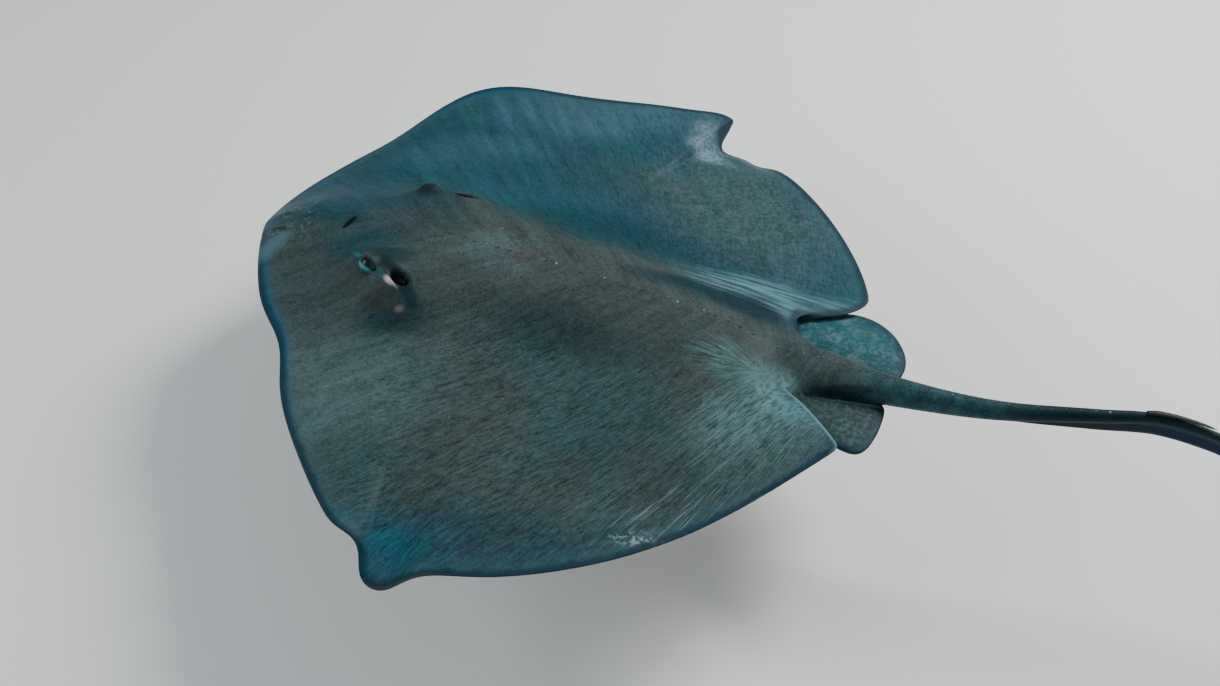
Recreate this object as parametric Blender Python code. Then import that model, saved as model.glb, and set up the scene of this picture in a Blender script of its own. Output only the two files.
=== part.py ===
"""Southern stingray, a life-size display model in mid-glide on a plain stand.

The snout points to -X, the ray's right wing to +Y and its back to +Z. Z = 0 is the underside of the
stand. Lengths are in metres. The body is first laid out from the tip of the snout (x = 0) with its
level plane at z = 0, and lifted onto the stand at the end.
"""

import math

import bmesh
import bpy
import numpy as np

# ---- The animal's main sizes -------------------------------------------------------------------
STAND_AT = 0.43          # distance from the snout back to the middle of the stand
GLIDE_HEIGHT = 0.215     # level plane of the body above the ground
GAP = 0.0003             # clearance between neighbouring solids

# Outline of each half of the disc. The pulls are the arms of the cubic curves between its corners, the
# lift is the height of the rim at even steps from snout to rear corner, each curl is (distance past the
# wing tip, height, reach) of a flick of the thin rim, and each nick (distance, depth, reach) of a dent in it.
RIGHT = dict(snout_out=0.292, snout_back=-0.004, tip=(0.512, 0.509), lead_pull=0.145, trail_pull=-0.034,
             corner=(0.822, 0.156), corner_in=0.162, corner_fwd=0.062, inner=((0.812, 0.120), (0.744, 0.090)),
             lift=(-0.001, 0.004, 0.040, 0.009, -0.008, 0.011, 0.010),
             curls=((-0.007, 0.013, 0.028), (0.060, -0.038, 0.047)),
             nicks=((0.032, 0.032, 0.012), (-0.382, -0.032, 0.068)))
LEFT = dict(snout_out=0.203, snout_back=0.088, tip=(0.430, 0.488), lead_pull=0.044, trail_pull=0.112,
            corner=(0.873, 0.151), corner_in=0.308, corner_fwd=0.202, inner=((0.812, 0.080), (0.772, 0.052)),
            lift=(-0.001, 0.015, 0.004, 0.021, 0.019, 0.017, 0.050),
            curls=((0.014, -0.055, 0.032),),
            nicks=((-0.032, 0.018, 0.015), (-0.384, 0.015, 0.045)))
INNER_ROOT = (0.768, 0.045)   # where the free rear lobe of the wing meets the trunk
DISC_END = 0.795              # end of the disc on the midline, inside the root of the tail
MARGIN_ROUND = 0.007          # rounding of the corners of the outline
MARGIN_HALF = 0.0022          # half thickness of the rim of the disc
AXIS_FRONT = 0.045            # front end of the midline that the ribs of the wings start from

# Height of the back and depth of the belly along the midline, and how far out the hump spreads.
STATIONS = (0.00, 0.08, 0.18, 0.28, 0.40, 0.55, 0.70, 0.80)
BACK = (0.003, 0.019, 0.038, 0.046, 0.047, 0.040, 0.024, 0.003)
SPREAD = (0.050, 0.075, 0.105, 0.120, 0.118, 0.098, 0.070, 0.050)
BELLY = (0.002, 0.010, 0.020, 0.025, 0.026, 0.022, 0.013, 0.004)
WING_TOP = 0.018              # thickness that the wing adds above and below its level plane
WING_UNDER = 0.011

# Eyes on their low mounds, with the spiracles' ridges behind them.
EYE_AT = (0.222, 0.082)
EYE_RADIUS = 0.0160
EYE_SINK = 0.0085             # centre of the eyeball below the top of its mound
MOUND = dict(at=(0.228, 0.073), long=0.031, wide=0.022, high=0.0175)
RIDGE = dict(at=(0.282, 0.080), long=0.027, wide=0.021, high=0.0095)
CHEEK = dict(at=(0.264, 0.120), long=0.026, wide=0.020, high=0.0060)

# Tail: centre line, radius, the fold under it, the keel on it and the sting.
TAIL_LINE = ((0.62, 0.000, 0.008), (0.80, 0.000, 0.013), (0.90, 0.000, 0.016), (1.02, 0.010, 0.022),
             (1.13, 0.037, 0.031), (1.205, 0.056, 0.036), (1.27, 0.063, 0.026), (1.37, 0.055, -0.004),
             (1.55, 0.026, -0.042), (1.80, -0.020, -0.066), (2.03, -0.030, -0.064), (2.24, -0.004, -0.056))
TAIL_ROOT_RADIUS = 0.0183
TAIL_END_RADIUS = 0.0018
TAIL_DECAY = 0.25
FOLD = dict(start=1.04, deepest=1.27, end=1.86, depth=0.017)
KEEL = dict(start=1.28, highest=1.36, end=1.78, depth=0.0035)
STING = dict(root=1.186, length=0.080, width=0.0074, thick=0.0036, rise=0.004)

# Pelvic fins: corners of the lobe from the front of its root round to its rear root.
PELVIC = {1: ((0.735, 0.020), (0.736, 0.090), (0.772, 0.124), (0.808, 0.142), (0.840, 0.138), (0.869, 0.119),
              (0.890, 0.090), (0.899, 0.062), (0.893, 0.016), (0.840, 0.004)),
          -1: ((0.735, 0.020), (0.742, 0.060), (0.790, 0.084), (0.835, 0.096), (0.864, 0.105), (0.885, 0.109),
               (0.894, 0.093), (0.898, 0.055), (0.894, 0.010), (0.840, 0.004))}
PELVIC_CENTRE = (0.825, 0.055)
PELVIC_LEVEL = 0.0005
PELVIC_HALF = 0.0052

# Cuts between the solids.
NECK = 0.315
TAIL_CUTS = (0.832, 1.10, 1.42, 1.80, 2.30)
FLANK = ((-0.10, 0.116), (NECK, 0.116), (0.832, 0.052), (0.945, 0.052))
OUTER = 0.300

# Stand.
BASE_RADIUS = 0.165
BASE_THICK = 0.016
BASE_BEVEL = 0.003
ROD_RADIUS = 0.0085
ROD_AT = (-0.085, 0.105)

# Detail of the faceted solids.
STATION_COUNT = 38
TIP_RIBS = (0.50, 0.075, 2.2)   # where on the rim the ribs stand closer, over how far, and how many times
RINGS = (0.10, 0.20, 0.30, 0.42, 0.56, 0.71, 0.84, 0.93, 0.98, 1.0)
TAIL_STEPS = 39


def material(name, colour, roughness, metallic=0.0):
    mat = bpy.data.materials.new(name)
    mat.use_nodes = True
    shader = mat.node_tree.nodes["Principled BSDF"]
    shader.inputs["Base Color"].default_value = (*colour, 1.0)
    shader.inputs["Roughness"].default_value = roughness
    shader.inputs["Metallic"].default_value = metallic
    return mat


def smooth_interp(x, xs, ys):
    """Monotone-looking curve through a few stations: cubic with centred slopes."""
    xs = np.asarray(xs, float)
    ys = np.asarray(ys, float)
    slope = np.gradient(ys, xs)
    x = np.clip(x, xs[0], xs[-1])
    i = np.clip(np.searchsorted(xs, x) - 1, 0, len(xs) - 2)
    h = xs[i + 1] - xs[i]
    u = (x - xs[i]) / h
    return ((1 + 2 * u) * (1 - u) ** 2 * ys[i] + u * (1 - u) ** 2 * h * slope[i]
            + u * u * (3 - 2 * u) * ys[i + 1] + u * u * (u - 1) * h * slope[i + 1])


def bezier(a, b, c, d, count):
    t = np.linspace(0, 1, count)[:, None]
    return (1 - t) ** 3 * a + 3 * (1 - t) ** 2 * t * b + 3 * (1 - t) * t * t * c + t ** 3 * d


def half_margin(half, count=400):
    """Rim of one half of the disc from snout to end of the midline: x, outward y, lift and curl."""
    snout = np.zeros(2)
    tip = np.array(half["tip"])
    corner = np.array(half["corner"])
    root = np.array(INNER_ROOT)
    lead = bezier(snout, np.array([half["snout_back"], half["snout_out"]]),
                  tip - [half["lead_pull"], 0.0], tip, count)
    trail = bezier(tip, tip + [half["trail_pull"], 0.0],
                   corner + [-half["corner_fwd"], half["corner_in"]], corner, count)
    end, start = (np.array(p) for p in half["inner"])
    inner = np.concatenate([bezier(corner, (corner + end) / 2, end, start, count // 4),
                            bezier(start, start + (start - end) * 0.1, root, root, count // 8)[1:]])
    close = bezier(root, root + [0.01, -0.01], np.array([DISC_END, 0.015]), np.array([DISC_END, 0.0]),
                   count // 6)
    rim = np.concatenate([lead, trail[1:]])
    step = np.linalg.norm(np.diff(rim, axis=0), axis=1)
    along = np.concatenate([[0], np.cumsum(step)])
    lift = smooth_interp(along / along[-1], np.linspace(0, 1, len(half["lift"])), half["lift"])
    run = np.gradient(rim, axis=0)
    inward = np.column_stack([run[:, 1], -run[:, 0]]) / np.linalg.norm(run, axis=1)[:, None]
    past = along - along[count - 1]
    curl = sum(high * np.exp(-0.5 * ((past - at) / reach) ** 2) for at, high, reach in half["curls"])
    dent = sum(deep * np.exp(-0.5 * ((past - at) / wide) ** 2) for at, deep, wide in half["nicks"])
    rim += inward * dent[:, None]
    plan = np.concatenate([rim, inner[1:], close[1:]])
    fall = np.linspace(half["lift"][-1], 0.008, len(inner) - 1)
    lift = np.concatenate([lift, fall, np.full(len(close) - 1, 0.008)])
    curl = np.concatenate([curl, np.zeros(len(plan) - len(curl))])
    return np.column_stack([plan, lift, curl])


def resample(line, fractions):
    step = np.linalg.norm(np.diff(line, axis=0), axis=1)
    along = np.concatenate([[0], np.cumsum(step)])
    along = along / along[-1]
    return np.column_stack([np.interp(fractions, along, line[:, k]) for k in range(line.shape[1])])


def rib_places():
    """Where the ribs meet the rim, 0 at the snout and 1 at the rear: closer together round the wing tips."""
    place = np.linspace(0.0, 1.0, 2001)
    middle, half, times = TIP_RIBS
    density = 1.0 + (times - 1.0) * np.exp(-np.abs((place - middle) / half) ** 4)
    run = np.concatenate([[0.0], np.cumsum((density[1:] + density[:-1]) / 2)])
    return np.interp(np.linspace(0.0, run[-1], STATION_COUNT + 1), run, place)


def disc_rim(fractions):
    """Rims of the right and left halves, rounded together so that the snout has no corner."""
    right = half_margin(RIGHT)
    left = half_margin(LEFT) * [1, -1, 1, 1]
    loop = np.concatenate([right, left[::-1][1:-1]])
    even = resample(np.concatenate([loop, loop[:1]]), np.linspace(0, 1, 2401))[:-1]
    length = np.linalg.norm(np.diff(even, axis=0), axis=1).sum()
    reach = np.arange(-60, 61) * length / 2400
    weight = np.exp(-0.5 * (reach / MARGIN_ROUND) ** 2)
    weight /= weight.sum()
    soft = sum(w * np.roll(even, -k, axis=0) for k, w in zip(range(-60, 61), weight))
    end = np.argmin(np.abs(soft[600:1800, 1]) + np.abs(soft[600:1800, 0] - DISC_END)) + 600
    sides = (soft[:end + 1], np.concatenate([soft[end:], soft[:1]])[::-1])
    rims = [resample(side, fractions) for side in sides]
    for rim in rims:
        rim[0, 1] = rim[-1, 1] = 0.0
    rims[1][0] = rims[0][0]
    rims[1][-1] = rims[0][-1]
    return rims


def mound(x, y, side, shape):
    across = (y * side - shape["at"][1]) / shape["wide"]
    return shape["high"] * np.exp(-0.5 * (((x - shape["at"][0]) / shape["long"]) ** 2 + across ** 2))


def rear_fade(x):
    """The disc thins out where the root of the tail takes over from it."""
    return 1 - 0.75 * np.clip((x - 0.66) / 0.13, 0, 1) ** 1.5


def back_height(x, y, r):
    """Height of the back above the level surface of the wing."""
    spread = smooth_interp(x, STATIONS, SPREAD)
    hump = smooth_interp(x, STATIONS, BACK) * np.exp(-np.abs(y / spread) ** 2.2)
    rim = MARGIN_HALF * np.sqrt(np.maximum(0, 1 - r ** 10))
    wing = WING_TOP * np.maximum(0, 1 - r) ** 0.8 * np.minimum(1, x / 0.10 + 0.2) * rear_fade(x)
    eyes = sum(mound(x, y, side, shape) for side in (1, -1) for shape in (MOUND, RIDGE, CHEEK))
    return hump * np.maximum(0, 1 - r ** 6) + wing + rim + eyes * np.maximum(0, 1 - r ** 8)


def belly_depth(x, y, r):
    belly = smooth_interp(x, STATIONS, BELLY) * np.exp(-np.abs(y / 0.135) ** 3.5)
    rim = MARGIN_HALF * np.sqrt(np.maximum(0, 1 - r ** 10))
    wing = WING_UNDER * np.maximum(0, 1 - r) ** 0.7 * np.minimum(1, x / 0.10 + 0.2) * rear_fade(x)
    return belly * np.maximum(0, 1 - r ** 6) + wing + rim


def object_of(name, verts, faces, collection, mat=None, grow=0.0):
    mesh = bpy.data.meshes.new(name)
    mesh.from_pydata([tuple(v) for v in verts], [], faces)
    work = bmesh.new()
    work.from_mesh(mesh)
    bmesh.ops.remove_doubles(work, verts=work.verts, dist=1e-6)
    bmesh.ops.recalc_face_normals(work, faces=work.faces)
    bmesh.ops.triangulate(work, faces=[f for f in work.faces if len(f.verts) == 4], quad_method="FIXED")
    if grow:
        work.normal_update()
        for vertex in work.verts:
            vertex.co += vertex.normal * (1.5 * grow * min(3.0, vertex.calc_shell_factor()))
    work.to_mesh(mesh)
    work.free()
    obj = bpy.data.objects.new(name, mesh)
    collection.objects.link(obj)
    if mat:
        mesh.materials.append(mat)
    return obj


def disc(name, collection, grow=0.0):
    """The whole flat body: head, trunk and both wings as one closed shape of ribs and rings."""
    n = STATION_COUNT
    where = rib_places()
    rims = disc_rim(where)
    axis_x = smooth_interp(where, (0, 0.20, 0.46, 0.60, 0.72, 0.82, 0.90, 1.0),
                           (AXIS_FRONT, 0.13, 0.28, 0.43, 0.58, 0.685, 0.725, 0.783))
    loop = np.concatenate([rims[0][:n], rims[1][:0:-1]])
    rib = np.concatenate([np.arange(n), np.arange(n, 0, -1)])
    axis = np.column_stack([axis_x, np.zeros(n + 1), np.full(n + 1, 0.008)])
    # Towards the rear the ribs run out sideways first and then back along the free lobe of the wing.
    swing = smooth_interp(where, (0, 0.62, 0.72, 0.82, 0.88, 1.0), (0, 0, 0.30, 0.85, 1.0, 1.0))[rib, None]
    curl = loop[:, 3]
    loop = loop[:, :3]
    elbow = (axis[rib] + loop) / 2 * (1 - swing) + np.column_stack(
        [axis[rib, 0] + 0.006, loop[:, 1], loop[:, 2]]) * swing
    verts = []
    faces = []
    sheets = {}
    for sign in (1, -1):
        rings = []
        for r in (0.0, *RINGS):
            if r == 0.0:
                pts = axis.copy()
            else:
                pts = axis[rib] * (1 - r) ** 2 + elbow * 2 * r * (1 - r) + loop * r * r
                pts[:, 2] = axis[rib, 2] * (1 - r ** 1.7) + loop[:, 2] * r ** 1.7 + curl * r ** 7
            if r < 1.0:
                fn = back_height if sign > 0 else belly_depth
                pts[:, 2] += sign * fn(pts[:, 0], pts[:, 1], r)
                rings.append(range(len(verts), len(verts) + len(pts)))
                verts += list(pts)
            elif sign > 0:
                sheets["rim"] = range(len(verts), len(verts) + len(pts))
                rings.append(sheets["rim"])
                verts += list(pts)
            else:
                rings.append(sheets["rim"])
        for k in range(2 * n):
            k2 = (k + 1) % (2 * n)
            a, b = rings[0][rib[k]], rings[0][rib[k2]]
            faces.append((a, b, rings[1][k2], rings[1][k]) if a != b else (a, rings[1][k2], rings[1][k]))
            for inner, outer in zip(rings[1:], rings[2:]):
                faces.append((inner[k], inner[k2], outer[k2], outer[k]))
    return object_of(name, verts, faces, collection, None, grow)


def path_of(points, count):
    """Smooth centre line through the given points, evenly spaced, with its length along it."""
    points = np.asarray(points)
    x = np.linspace(points[0, 0], points[-1, 0], 800)
    line = np.column_stack([x] + [smooth_interp(x, points[:, 0], points[:, k]) for k in (1, 2)])
    return resample(line, np.linspace(0, 1, count))


def tail_radius(x):
    fall = np.exp(-(np.maximum(x, 0.9) - 0.9) / TAIL_DECAY)
    thin = TAIL_END_RADIUS + (TAIL_ROOT_RADIUS - TAIL_END_RADIUS) * fall
    root = np.maximum(0, 0.9 - x)
    return thin + 0.30 * root ** 1.25, thin + 0.055 * root


def leaf_depth(x, shape, peak):
    rise = np.clip((x - shape["start"]) / (shape[peak] - shape["start"]), 0, 1)
    fall = np.clip((shape["end"] - x) / (shape["end"] - shape[peak]), 0, 1)
    return shape["depth"] * np.minimum(np.sin(rise * math.pi / 2), fall ** 0.7)


def tail(name, collection, grow=0.0):
    """Whip-like tail with a thin fold below and a low keel above, rooted deep in the trunk."""
    line = path_of(TAIL_LINE, TAIL_STEPS)
    verts = []
    faces = []
    angles = np.radians([90, 60, 30, 0, -30, -62])
    for i, centre in enumerate(line):
        wide, high = (float(v) for v in tail_radius(centre[0]))
        fold = float(leaf_depth(centre[0], FOLD, "deepest"))
        keel = float(leaf_depth(centre[0], KEEL, "highest"))
        half = [(wide * math.cos(a), high * math.sin(a)) for a in angles]
        half[0] = (0.0, high + keel)
        half += [(min(0.0011, 0.3 * wide), -high - 0.70 * fold), (0.0, -high * 1.02 - fold)]
        section = half + [(-y, z) for y, z in half[-2:0:-1]]
        run = line[min(i + 1, len(line) - 1)] - line[max(i - 1, 0)]
        side = np.array([-run[1], run[0], 0.0])
        side /= np.linalg.norm(side)
        up = np.cross(run / np.linalg.norm(run), side)
        verts += [centre + side * y + up * z for y, z in section]
    m = len(section)
    for i in range(len(line) - 1):
        for k in range(m):
            k2 = (k + 1) % m
            faces.append((i * m + k, i * m + k2, (i + 1) * m + k2, (i + 1) * m + k))
    faces.append(tuple(range(m)))
    faces.append(tuple(range((len(line) - 1) * m, len(line) * m)))
    return object_of(name, verts, faces, collection, None, grow)


def pelvic(name, side, collection, mat):
    """Rounded lobe beside the root of the tail, thick at its root and thin round its edge."""
    corners = np.array(PELVIC[side] + PELVIC[side][:1])
    loop = resample(corners, np.linspace(0, 1, 241))[:-1]
    weight = np.exp(-0.5 * (np.arange(-18, 19) / 6.0) ** 2)
    weight /= weight.sum()
    loop = sum(w * np.roll(loop, -k, axis=0) for k, w in zip(range(-18, 19), weight))[::10]
    centre = np.array(PELVIC_CENTRE)
    rings = (0.35, 0.65, 0.86, 0.97, 1.0)
    n = len(loop)
    verts = []
    faces = []
    layers = {}
    for sign in (1, -1):
        verts.append((centre[0], centre[1] * side, PELVIC_LEVEL + sign * PELVIC_HALF))
        layers[sign] = [[len(verts) - 1] * n]
        for r in rings:
            if r == 1.0 and sign < 0:
                layers[sign].append(layers[1][-1])
                continue
            half = PELVIC_HALF * math.sqrt(max(0.0, 1 - r ** 2)) + 0.0012 * (r < 1.0)
            pts = centre * (1 - r) + loop * r
            layers[sign].append(list(range(len(verts), len(verts) + n)))
            verts += [(x, y * side, PELVIC_LEVEL - 0.04 * max(0, y - 0.06) + sign * half) for x, y in pts]
        for inner, outer in zip(layers[sign], layers[sign][1:]):
            for k in range(n):
                k2 = (k + 1) % n
                quad = (inner[k], inner[k2], outer[k2], outer[k])
                faces.append(quad if inner[k] != inner[k2] else (inner[k], outer[k2], outer[k]))
    return object_of(name, verts, faces, collection, mat)


def eye_centre(side):
    x, y = EYE_AT
    top = 0.008 + float(back_height(np.array(x), np.array(y * side), np.array(0.25)))
    return (x, y * side, top - EYE_SINK)


def ball(name, centre, radius, collection, mat=None, rings=9, segments=16):
    verts = [(0, 0, radius), (0, 0, -radius)]
    faces = []
    for i in range(1, rings):
        a = math.pi * i / rings
        verts += [(radius * math.sin(a) * math.cos(2 * math.pi * k / segments),
                   radius * math.sin(a) * math.sin(2 * math.pi * k / segments),
                   radius * math.cos(a)) for k in range(segments)]
    for k in range(segments):
        k2 = (k + 1) % segments
        faces.append((0, 2 + k, 2 + k2))
        last = 2 + (rings - 2) * segments
        faces.append((1, last + k2, last + k))
        for i in range(rings - 2):
            a = 2 + i * segments
            faces.append((a + k, a + segments + k, a + segments + k2, a + k2))
    return object_of(name, [np.array(v) + centre for v in verts], faces, collection, mat)


def sting(name, collection, mat):
    """Flat tapering spine lying just above the tail, with its tip free."""
    line = path_of(TAIL_LINE, 900)
    first = int(np.argmin(np.abs(line[:, 0] - STING["root"])))
    step = np.linalg.norm(line[1] - line[0])
    verts = []
    faces = []
    stations = (0.0, 0.12, 0.30, 0.55, 0.80, 1.0)
    for f in stations:
        i = first + int(round(f * STING["length"] / step))
        run = line[i + 1] - line[i - 1]
        run /= np.linalg.norm(run)
        side = np.array([-run[1], run[0], 0.0])
        side /= np.linalg.norm(side)
        up = np.cross(run, side)
        width = STING["width"] / 2 * (1 - f) ** 0.55 * (0.75 + 0.25 * min(1, f / 0.12)) + 0.0005
        thick = STING["thick"] / 2 * (1 - f) ** 0.6 + 0.0004
        clear = float(tail_radius(line[i, 0])[1]) + float(leaf_depth(line[i, 0], KEEL, "highest"))
        centre = line[i] + up * (clear + thick + 0.0005 + STING["rise"] * f)
        for k in range(8):
            a = 2 * math.pi * k / 8
            verts.append(centre + side * width * math.cos(a) + up * thick * math.sin(a))
    for i in range(len(stations) - 1):
        for k in range(8):
            k2 = (k + 1) % 8
            faces.append((i * 8 + k, i * 8 + k2, i * 8 + 8 + k2, i * 8 + 8 + k))
    faces.append(tuple(range(8)))
    faces.append(tuple(range(len(verts) - 8, len(verts))))
    return object_of(name, verts, faces, collection, mat)


def prism(name, outline, collection, low=-0.3, high=0.3):
    n = len(outline)
    verts = [(x, y, low) for x, y in outline] + [(x, y, high) for x, y in outline]
    faces = [tuple(range(n))[::-1], tuple(range(n, 2 * n))]
    faces += [(k, (k + 1) % n, n + (k + 1) % n, n + k) for k in range(n)]
    return object_of(name, verts, faces, collection)


def apply_boolean(obj, other, operation):
    cut = obj.modifiers.new(operation.title(), "BOOLEAN")
    cut.operation = operation
    cut.solver = "EXACT"
    cut.object = other
    with bpy.context.temp_override(object=obj, active_object=obj):
        bpy.ops.object.modifier_apply(modifier=cut.name)


def zone(low, high, x0, x1):
    """Plan outline between two edges, each a list of (x, y), from x0 to x1 and drawn in by half a gap."""
    g = GAP / 2
    xs = sorted({x0 + g, x1 - g, *[x for x, _ in (*low, *high) if x0 < x < x1]})
    lower = [(x, float(np.interp(x, *zip(*low))) + 1.02 * g) for x in xs]
    upper = [(x, float(np.interp(x, *zip(*high))) - 1.02 * g) for x in xs]
    return lower + upper[::-1]


def part_of(name, whole, outline, parts, cutters, mat):
    """One node: the stretch of the whole body inside a plan outline."""
    piece = whole.copy()
    piece.data = whole.data.copy()
    piece.name = name
    piece.data.name = name
    piece.data.materials.clear()
    piece.data.materials.append(mat)
    parts.objects.link(piece)
    cutter = prism("cut_" + name, outline, cutters)
    apply_boolean(piece, cutter, "INTERSECT")
    return piece


def cylinder(name, radius, low, high, at, collection, mat, segments=48, bevel=0.0):
    verts = []
    levels = [(radius - bevel, low), (radius, low + bevel), (radius, high - bevel), (radius - bevel, high)]
    if bevel == 0.0:
        levels = [(radius, low), (radius, high)]
    for r, z in levels:
        verts += [(at[0] + r * math.cos(2 * math.pi * k / segments),
                   at[1] + r * math.sin(2 * math.pi * k / segments), z) for k in range(segments)]
    faces = [tuple(range(segments))[::-1], tuple(range(len(verts) - segments, len(verts)))]
    for level in range(len(levels) - 1):
        a = level * segments
        faces += [(a + k, a + (k + 1) % segments, a + segments + (k + 1) % segments, a + segments + k)
                  for k in range(segments)]
    return object_of(name, verts, faces, collection, mat)


def main():
    for old in list(bpy.data.objects):
        bpy.data.objects.remove(old, do_unlink=True)
    parts = bpy.data.collections.new("stingray")
    cutters = bpy.data.collections.new("cutters")
    cutters.hide_render = True
    for collection in (parts, cutters):
        bpy.context.scene.collection.children.link(collection)

    hide = dict(head=(0.115, 0.100, 0.092), trunk=(0.110, 0.105, 0.100), wing=(0.105, 0.120, 0.120),
                tail=(0.075, 0.095, 0.105), fin=(0.100, 0.130, 0.140))

    # The body as one shape: flat disc, then the tail joined to it.
    whole = disc("whole_body", cutters)
    apply_boolean(whole, tail("whole_tail", cutters), "UNION")
    swollen = disc("swollen_disc", cutters, GAP)
    apply_boolean(swollen, tail("swollen_tail", cutters, GAP), "UNION")

    # Head, trunk and wings, parted along the neck and the flanks.
    inside = [(x, -y) for x, y in FLANK]
    far_out = [(-0.10, 0.60), (0.945, 0.60)]
    outer = [(-0.10, OUTER), (0.945, OUTER)]
    plans = {
        "head": (zone(inside, FLANK, -0.10, NECK), hide["head"], 0.42),
        "trunk": (zone(inside, FLANK, NECK, TAIL_CUTS[0]), hide["trunk"], 0.45),
        "wing_right_inner": (zone(FLANK, outer, -0.10, 0.945), hide["wing"], 0.45),
        "wing_right_outer": (zone(outer, far_out, -0.10, 0.945), hide["wing"], 0.45),
        "wing_left_inner": (zone([(x, -y) for x, y in outer], inside, -0.10, 0.945), hide["wing"], 0.45),
        "wing_left_outer": (zone([(x, -y) for x, y in far_out], [(x, -y) for x, y in outer], -0.10, 0.945),
                            hide["wing"], 0.45),
    }
    spread = [(0.80, 0.051), (0.93, 0.051), (0.96, 0.30), (2.40, 0.30)]
    for i, (a, b) in enumerate(zip(TAIL_CUTS, TAIL_CUTS[1:])):
        plans[f"tail_{i + 1}"] = (zone([(x, -y) for x, y in spread], spread, a, b), hide["tail"], 0.40)
    pieces = {}
    for name, (outline, colour, rough) in plans.items():
        pieces[name] = part_of(name, whole, outline, parts, cutters, material("skin_" + name, colour, rough))

    # Eyes in their sockets.
    for side, word in ((1, "right"), (-1, "left")):
        centre = eye_centre(side)
        socket = ball("socket_" + word, centre, EYE_RADIUS + GAP, cutters)
        apply_boolean(pieces["head"], socket, "DIFFERENCE")
        ball("eye_" + word, centre, EYE_RADIUS, parts, material("eye_" + word, (0.02, 0.03, 0.03), 0.12))

    # Pelvic fins below the rear corners of the disc, and the sting on the tail.
    for side, word in ((1, "right"), (-1, "left")):
        fin = pelvic("pelvic_" + word, side, parts, material("skin_pelvic_" + word, hide["fin"], 0.45))
        apply_boolean(fin, swollen, "DIFFERENCE")
    sting("sting", parts, material("sting", (0.32, 0.28, 0.22), 0.55))

    # Stand: round foot and two rods up to the belly.
    cylinder("stand_base", BASE_RADIUS, -GLIDE_HEIGHT, -GLIDE_HEIGHT + BASE_THICK, (STAND_AT, 0.0), parts,
             material("stand_base", (0.045, 0.045, 0.048), 0.5), 64, BASE_BEVEL)
    for i, x in enumerate(ROD_AT):
        steel = material(f"stand_rod_{i + 1}", (0.60, 0.61, 0.62), 0.28, 1.0)
        rod = cylinder(f"stand_rod_{i + 1}", ROD_RADIUS, -GLIDE_HEIGHT + BASE_THICK + GAP, 0.02,
                       (STAND_AT + x, 0.0), parts, steel, 20)
        apply_boolean(rod, swollen, "DIFFERENCE")

    # Everything onto the stand, at its place in the row.
    for obj in parts.objects:
        for vertex in obj.data.vertices:
            vertex.co.x -= STAND_AT
            vertex.co.z += GLIDE_HEIGHT
    for obj in cutters.objects:
        obj.hide_render = True
        obj.display_type = "WIRE"


main()
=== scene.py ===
"""Southern stingray in mid-glide, a life-size museum model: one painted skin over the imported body, glass
eyes, thorns, a bone sting and a plain stand. Metres; snout to -X, right wing to +Y, Z = 0 under the stand.
"""
import math

import bmesh
import bpy
import numpy as np
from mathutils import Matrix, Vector
from mathutils.kdtree import KDTree


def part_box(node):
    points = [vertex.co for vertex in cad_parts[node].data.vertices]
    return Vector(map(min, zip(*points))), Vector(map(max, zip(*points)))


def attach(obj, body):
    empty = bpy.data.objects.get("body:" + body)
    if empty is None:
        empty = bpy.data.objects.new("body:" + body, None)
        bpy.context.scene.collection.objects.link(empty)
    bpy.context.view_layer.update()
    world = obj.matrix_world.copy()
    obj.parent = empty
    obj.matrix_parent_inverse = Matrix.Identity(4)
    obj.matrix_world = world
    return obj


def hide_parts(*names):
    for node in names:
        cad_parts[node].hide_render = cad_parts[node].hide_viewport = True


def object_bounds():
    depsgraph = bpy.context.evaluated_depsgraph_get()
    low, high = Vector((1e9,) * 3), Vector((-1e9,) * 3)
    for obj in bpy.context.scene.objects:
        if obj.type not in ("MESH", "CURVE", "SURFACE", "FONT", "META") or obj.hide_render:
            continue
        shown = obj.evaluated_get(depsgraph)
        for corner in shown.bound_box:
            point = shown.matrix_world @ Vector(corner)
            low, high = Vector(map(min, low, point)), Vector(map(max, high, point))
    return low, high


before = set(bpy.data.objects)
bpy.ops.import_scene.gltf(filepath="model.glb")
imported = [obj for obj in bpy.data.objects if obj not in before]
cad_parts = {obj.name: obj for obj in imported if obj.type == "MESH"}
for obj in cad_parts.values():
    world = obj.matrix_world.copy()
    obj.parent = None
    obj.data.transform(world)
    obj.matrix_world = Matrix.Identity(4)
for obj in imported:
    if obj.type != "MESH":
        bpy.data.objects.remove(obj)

cad_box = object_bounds()

# ==== Skin: the disc =============================================================================
# Head, trunk and both wings are one flat cast body. It is laid out from the tip of the snout (x = 0)
# with its level plane at z = 0, as the solids are, and set over the foot of the stand at the end.
# The halves differ a little, because the animal is caught in the middle of a wing beat.
STAND_AT = 0.43
GLIDE_HEIGHT = 0.215
RIGHT = dict(snout_out=0.292, snout_back=-0.004, tip=(0.512, 0.509), lead_pull=0.145, trail_pull=-0.034,
             corner=(0.822, 0.156), corner_in=0.162, corner_fwd=0.062, inner=((0.812, 0.120), (0.744, 0.090)),
             lift=(-0.001, 0.004, 0.040, 0.009, -0.008, 0.011, 0.010),
             curls=((-0.007, 0.013, 0.028), (0.060, -0.038, 0.047)),
             nicks=((0.032, 0.032, 0.012), (-0.382, -0.032, 0.068)))
LEFT = dict(snout_out=0.203, snout_back=0.088, tip=(0.430, 0.488), lead_pull=0.044, trail_pull=0.112,
            corner=(0.873, 0.151), corner_in=0.308, corner_fwd=0.202, inner=((0.812, 0.080), (0.772, 0.052)),
            lift=(-0.001, 0.015, 0.004, 0.021, 0.019, 0.017, 0.050),
            curls=((0.014, -0.055, 0.032),),
            nicks=((-0.032, 0.018, 0.015), (-0.384, 0.015, 0.045)))
INNER_ROOT = (0.768, 0.045)
DISC_END = 0.795
MIDLINE_LEVEL = 0.008
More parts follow.
